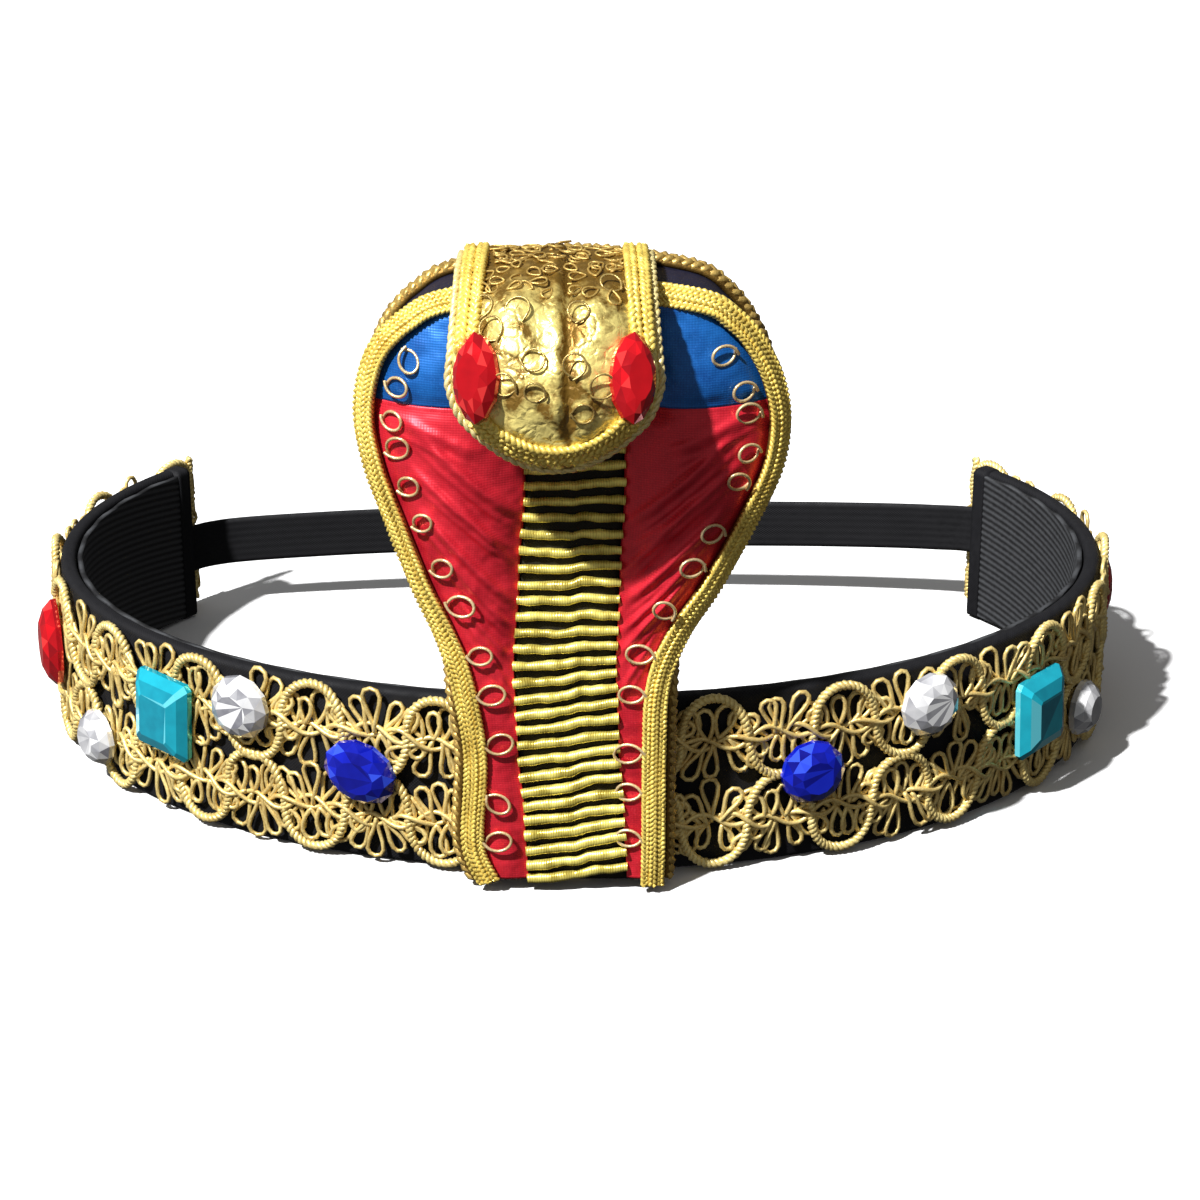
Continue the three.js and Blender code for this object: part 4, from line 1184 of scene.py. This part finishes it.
def headTaper(share):
    beyond = max(0, (share - headSizes["roundFrom"]) / (1 - headSizes["roundFrom"]))
    return math.sqrt(max(0, 1 - beyond ** 2))


def headShare(step):  # shares that crowd towards the rounded tip, for steps from 0 to 1
    start, straight = headSizes["roundFrom"], headSizes["straightSteps"]
    if step <= straight:
        return start * step / straight
    return min(1, start + (1 - start) * math.sin((step - straight) / (1 - straight) * math.pi / 2))


def headSurface(x, share, lift):  # a place on the head's top, in millimetres across and share along
    spot, way, outward, half, drop, edge = headFrame(share)
    fall = drop * (1 - headTaper(share) ** 2 + (x / half) ** 2)
    spot = spot - outward * (fall - lift)
    return place(x + headSizes["aside"], spot.y, spot.z)


def headFacing(x, share):
    across = headSurface(x + 0.2, share, 0) - headSurface(x - 0.2, share, 0)
    down = headSurface(x, share + 0.004, 0) - headSurface(x, share - 0.004, 0)
    return down.cross(across).normalized()


def headRelief(x, share):  # what the wadding and the centre seam do to the foil cloth
    s = headSizes
    width = headFrame(share)[3] * headTaper(share)
    inside = min(1, 3 * max(0, 1 - (x / max(width, 1e-3)) ** 2))
    off = x - s["seam"] - 0.5 * ripple(share * 45, 0, 0, 2.4)
    ridge = s["ridge"] * math.exp(-((off + 1.1) / 0.9) ** 2)
    seam = ridge - s["groove"] * math.exp(-((off - 0.5) / 0.65) ** 2)
    brow = sum(high * math.exp(-((x - a) / wide) ** 2 - ((share - b) / long) ** 2)
               for a, b, wide, long, high in s["brows"])
    small = s["crumple"] * (ripple(x, share * 50, 0, 2.6) + 0.6 * ripple(x, share * 50, 4, 1.3, 8))
    lump = s["lumps"] * ripple(x, share * 45, 2, 5.5, 3)
    return (seam * smooth(0.93 - share, 0, 0.15) + brow + small + lump) * inside


curlSizes = {"wide": 2.9, "spread": (0.9, 1.15), "thread": 0.17, "stand": 0.3, "rootBack": 0.03,
             "topWide": 1.5, "topLong": 2.3, "topSpread": (0.8, 1.2), "topThread": 0.17, "topStand": 0.15,
             "topRows": 9, "topColumns": 9, "topGap": 2.1, "topFrom": 0.03, "topStep": 0.052, "seed": 5,
             # rings seen on the face of the head: millimetres across, share along
             "rings": ((-9.6, 0.56), (-7.4, 0.64), (-4.0, 0.59), (-4.1, 0.71), (-5.2, 0.78), (-1.3, 0.8),
                       (3.2, 0.6), (2.9, 0.75), (2.5, 0.85), (5.4, 0.8), (8.6, 0.47))}


def makeHead():
    s, across = headSizes, headSizes["across"]
    rings, shares = [], []
    for i in range(s["steps"] + 1):
        share = headShare(i / s["steps"])
        taper = headTaper(share)
        spot, way, outward, half, drop, edge = headFrame(share)
        width = half * taper
        ring = []
        for j in range(across + 1):
            x = width * math.sin((j / across - 0.5) * math.pi)
            ring.append(headSurface(x, share, headRelief(x, share) if taper > 0 else 0))
        for j in range(1, across):
            x = width * math.sin((0.5 - j / across) * math.pi)
            sag = s["sag"] * ripple(x, share * 60, 9, 4) * (1 - (x / max(width, 1e-3)) ** 2)
            back = spot - outward * (drop + edge + sag)  # flat under side
            ring.append(place(x + s["aside"], back.y, back.z))
        rings.append(ring)
        shares.append(share)
    head = loft("headPad", rings, finishes["foil"], lambda i, j: (j * 0.6, shares[i] * 100))
    wear = head.data.attributes.new("wear", "FLOAT", "POINT")
    dents = [headSurface(x, share, 0) for x, share in curlSizes["rings"]]
    for vertex in head.data.vertices:  # brown inside each ring, and painted shade along the seam groove
        inRing = sum(math.exp(-((vertex.co - dent).length / mm / s["ringDarkReach"]) ** 2) for dent in dents)
        offSeam = (vertex.co.x - sideShift) / mm - s["aside"] - s["seam"] - 0.5
        wear.data[vertex.index].value = min(1, inRing) + math.exp(-(offSeam / s["seamShadeWidth"]) ** 2)
    settle(head, "gold_cloth", "head_pad")


makeHead()


def headEdgeLine(stand, lower):  # points beside the head's edge, from one end round the tip to the other
    start, steps = headSizes["roundFrom"], headSizes["edgeSteps"]
    side = []
    for i in range(steps + 1):
        share = headShare(i / steps)
        slope = max(0, (share - start) / (1 - start))
        spot, way, outward, half, drop, edge = headFrame(share)
        spot = spot - outward * (drop + lower * edge) + way * stand * slope
        aside = (half + stand) * headTaper(share)
        side.append([(place(headSizes["aside"] + sign * aside, spot.y, spot.z), outward) for sign in (1, -1)])
    line = [right for right, left in side] + [left for right, left in reversed(side[:-1])]
    return [p for p, way in line], [way for p, way in line]


def headBraidLine(spots):  # a path on the head's top through places across and shares along
    points = [headSurface(x, share, headSizes["braidStand"]) for x, share in spots]
    return points, [headFacing(x, share) for x, share in spots]


def makeHeadTrim():
    s = headSizes
    outer = headEdgeLine(s["trimStand"], s["trimLow"])
    parts = [grow("trimRope", lineMesh("trimLine", *outer), pairTree, finishes["paleCord"], {
        "Wide": s["trimWide"], "Deep": s["trimWide"], "Pitch": s["trimPitch"],
        "Thread": s["trimThread"], "Step": s["trimStep"]})]
    inside = lambda share: headFrame(share)[3] - s["braidInset"]
    steps = s["braidSteps"]
    shares = [lerp(s["braidFrom"], s["braidEnds"][0], i / steps) for i in range(steps + 1)]
    sides = [[(side * inside(share), share) for share in shares] for side in (-1, 1)]
    chin = []
    for i in range(s["edgeSteps"] + 1):  # round the chin from one eye to the other
        turn = math.radians(lerp(s["chinFrom"], 180 - s["chinFrom"], i / s["edgeSteps"]))
        share = lerp(s["roundFrom"], s["braidEnds"][1], math.sin(turn))
        chin.append((inside(share) * math.cos(turn), share))
    for spots in (*sides, chin):
        line = headBraidLine(spots)
        for sign in (-1, 1):
            parts.append(grow("headBraid", lineMesh("headBraidLine", *line), plaitTree, finishes["braid"], {
                "Wide": s["braidWide"], "Deep": s["braidDeep"] * sign, "Pitch": s["braidPitch"],
                "Thread": s["braidThread"], "Step": s["braidStep"], "Aside": s["braidApart"] * sign},
                {"Start": s["braidStart"] * sign}))
    settle(joined("headTrimCord", parts), "gold_cord", "head_trim")


makeHeadTrim()


def headTurn(x, share, twist):  # turns a loop to lie on the head
    turn = headFacing(x, share).to_track_quat("Z", "Y").to_euler()
    turn.rotate_axis("Z", twist)
    return tuple(turn)


def makeCurls():
    s = curlSizes
    rng = random.Random(s["seed"])
    rings, curls = [], []
    for x, share in s["rings"]:
        turn = headTurn(x, share, rng.uniform(-1.5, 1.5))
        size = s["wide"] * rng.uniform(*s["spread"]) * mm
        spot = headSurface(x, share - s["rootBack"], headRelief(x, share) + s["stand"])
        rings.append((spot, turn, (size,) * 3))
    for row in range(s["topRows"]):  # close curls over the top of the head
        for k in range(s["topColumns"]):
            x = (k - (s["topColumns"] - 1) / 2) * s["topGap"] + rng.uniform(-0.9, 0.9)
            share = s["topFrom"] + row * s["topStep"] + rng.uniform(-0.02, 0.02)
            turn = headTurn(x, share, rng.uniform(-3.1, 3.1))
            size = rng.uniform(*s["topSpread"])
            curls.append((headSurface(x, share, headRelief(x, share) + s["topStand"]), turn,
                          reach(s["topWide"] * size, s["topLong"] * size)))
    parts = [grow("faceRings", pointMesh("facePoints", rings), ringTree, finishes["faceWire"],
                  {"Thread": s["thread"]}),
             grow("topCurls", pointMesh("curlPoints", curls), dropTree, finishes["rearBraid"],
                  {"Thread": s["topThread"]})]
    settle(joined("headWireCurls", parts), "gold_cord")


makeCurls()

# Stones keep their CAD shape
stoneWear = {"blue": "blueStone", "clear": "clearStone", "turquoise": "turquoiseStone", "red": "redStone",
             "eye": "redStone"}
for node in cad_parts:
    wear = stoneWear.get(node.split("_")[0])
    if wear and ("stone" in node or node.startswith("eye")):
        for materialSlot in bpy.data.objects[node].material_slots:
            materialSlot.material = finishes[wear]
print("stones dressed")

# Studio
studio = {"target": (3.28, 0, 16.57), "distance": 480, "elevation": 22, "lens": 85.485, "sensor": 36,
          "sun": 7.2, "sunSoft": 2.5, "sunWay": (0.55, 0.57, -0.98), "sky": 0.24, "floor": 3,
          "floorDrop": 0.2}


def makeStudio():
    s = studio
    mesh, far = bpy.data.meshes.new("floor"), s["floor"]
    mesh.from_pydata([(-far, -far, 0), (far, -far, 0), (far, far, 0), (-far, far, 0)], [], [(0, 1, 2, 3)])
    floor = newPiece("floor", mesh, newFinish("pale floor", {}, lambda graph: {
        "Base Color": graph.mix(graph.grain(9, 3), (0.86, 0.86, 0.86), (0.9, 0.9, 0.9)),
        "Roughness": graph.spread(graph.grain(30, 2), 0.3, 0.7, (0.6, 0.7))}))
    floor.location.z = -s["floorDrop"] * mm
    floor.visible_diffuse = floor.visible_glossy = False  # its bounce would wash out the shadows
    sun = bpy.data.lights.new("key", "SUN")
    sun.energy, sun.angle = s["sun"], math.radians(s["sunSoft"])
    key = bpy.data.objects.new("key", sun)
    key.rotation_mode = "QUATERNION"
    key.rotation_quaternion = Vector(s["sunWay"]).to_track_quat("-Z", "Y")
    bpy.context.scene.collection.objects.link(key)
    world = bpy.data.worlds.new("studio")
    world.use_nodes = True
    graph = Graph(world.node_tree)
    background = world.node_tree.nodes["Background"]
    way = graph.add("ShaderNodeSeparateXYZ", None, {0: graph.add("ShaderNodeTexCoord", out="Generated")})
    side = way.out("Z") * 0.6 - way.out("X") * 0.5 - way.out("Y") * 0.25  # brighter above, left and in front
    shade = graph.mix(graph.spread(side, -0.5, 0.8, (0.25, 1.35)), (0, 0, 0), (1, 1, 1))
    world.node_tree.links.new(shade.socket, background.inputs["Color"])
    background.inputs["Strength"].default_value = s["sky"]
    bpy.context.scene.world = world
    camera = bpy.data.objects.new("camera", bpy.data.cameras.new("camera"))
    camera.data.sensor_width, camera.data.lens = s["sensor"], s["lens"]
    camera.data.clip_start = 0.01
    rise = math.radians(s["elevation"])
    back = Vector((0, -math.cos(rise), math.sin(rise)))
    camera.location = place(*s["target"]) + back * s["distance"] * mm
    camera.rotation_mode = "QUATERNION"
    camera.rotation_quaternion = (-back).to_track_quat("-Z", "Y")
    bpy.context.scene.collection.objects.link(camera)
    bpy.context.scene.camera = camera
    bpy.context.scene.view_settings.view_transform = "Standard"


makeStudio()
print("studio ready")
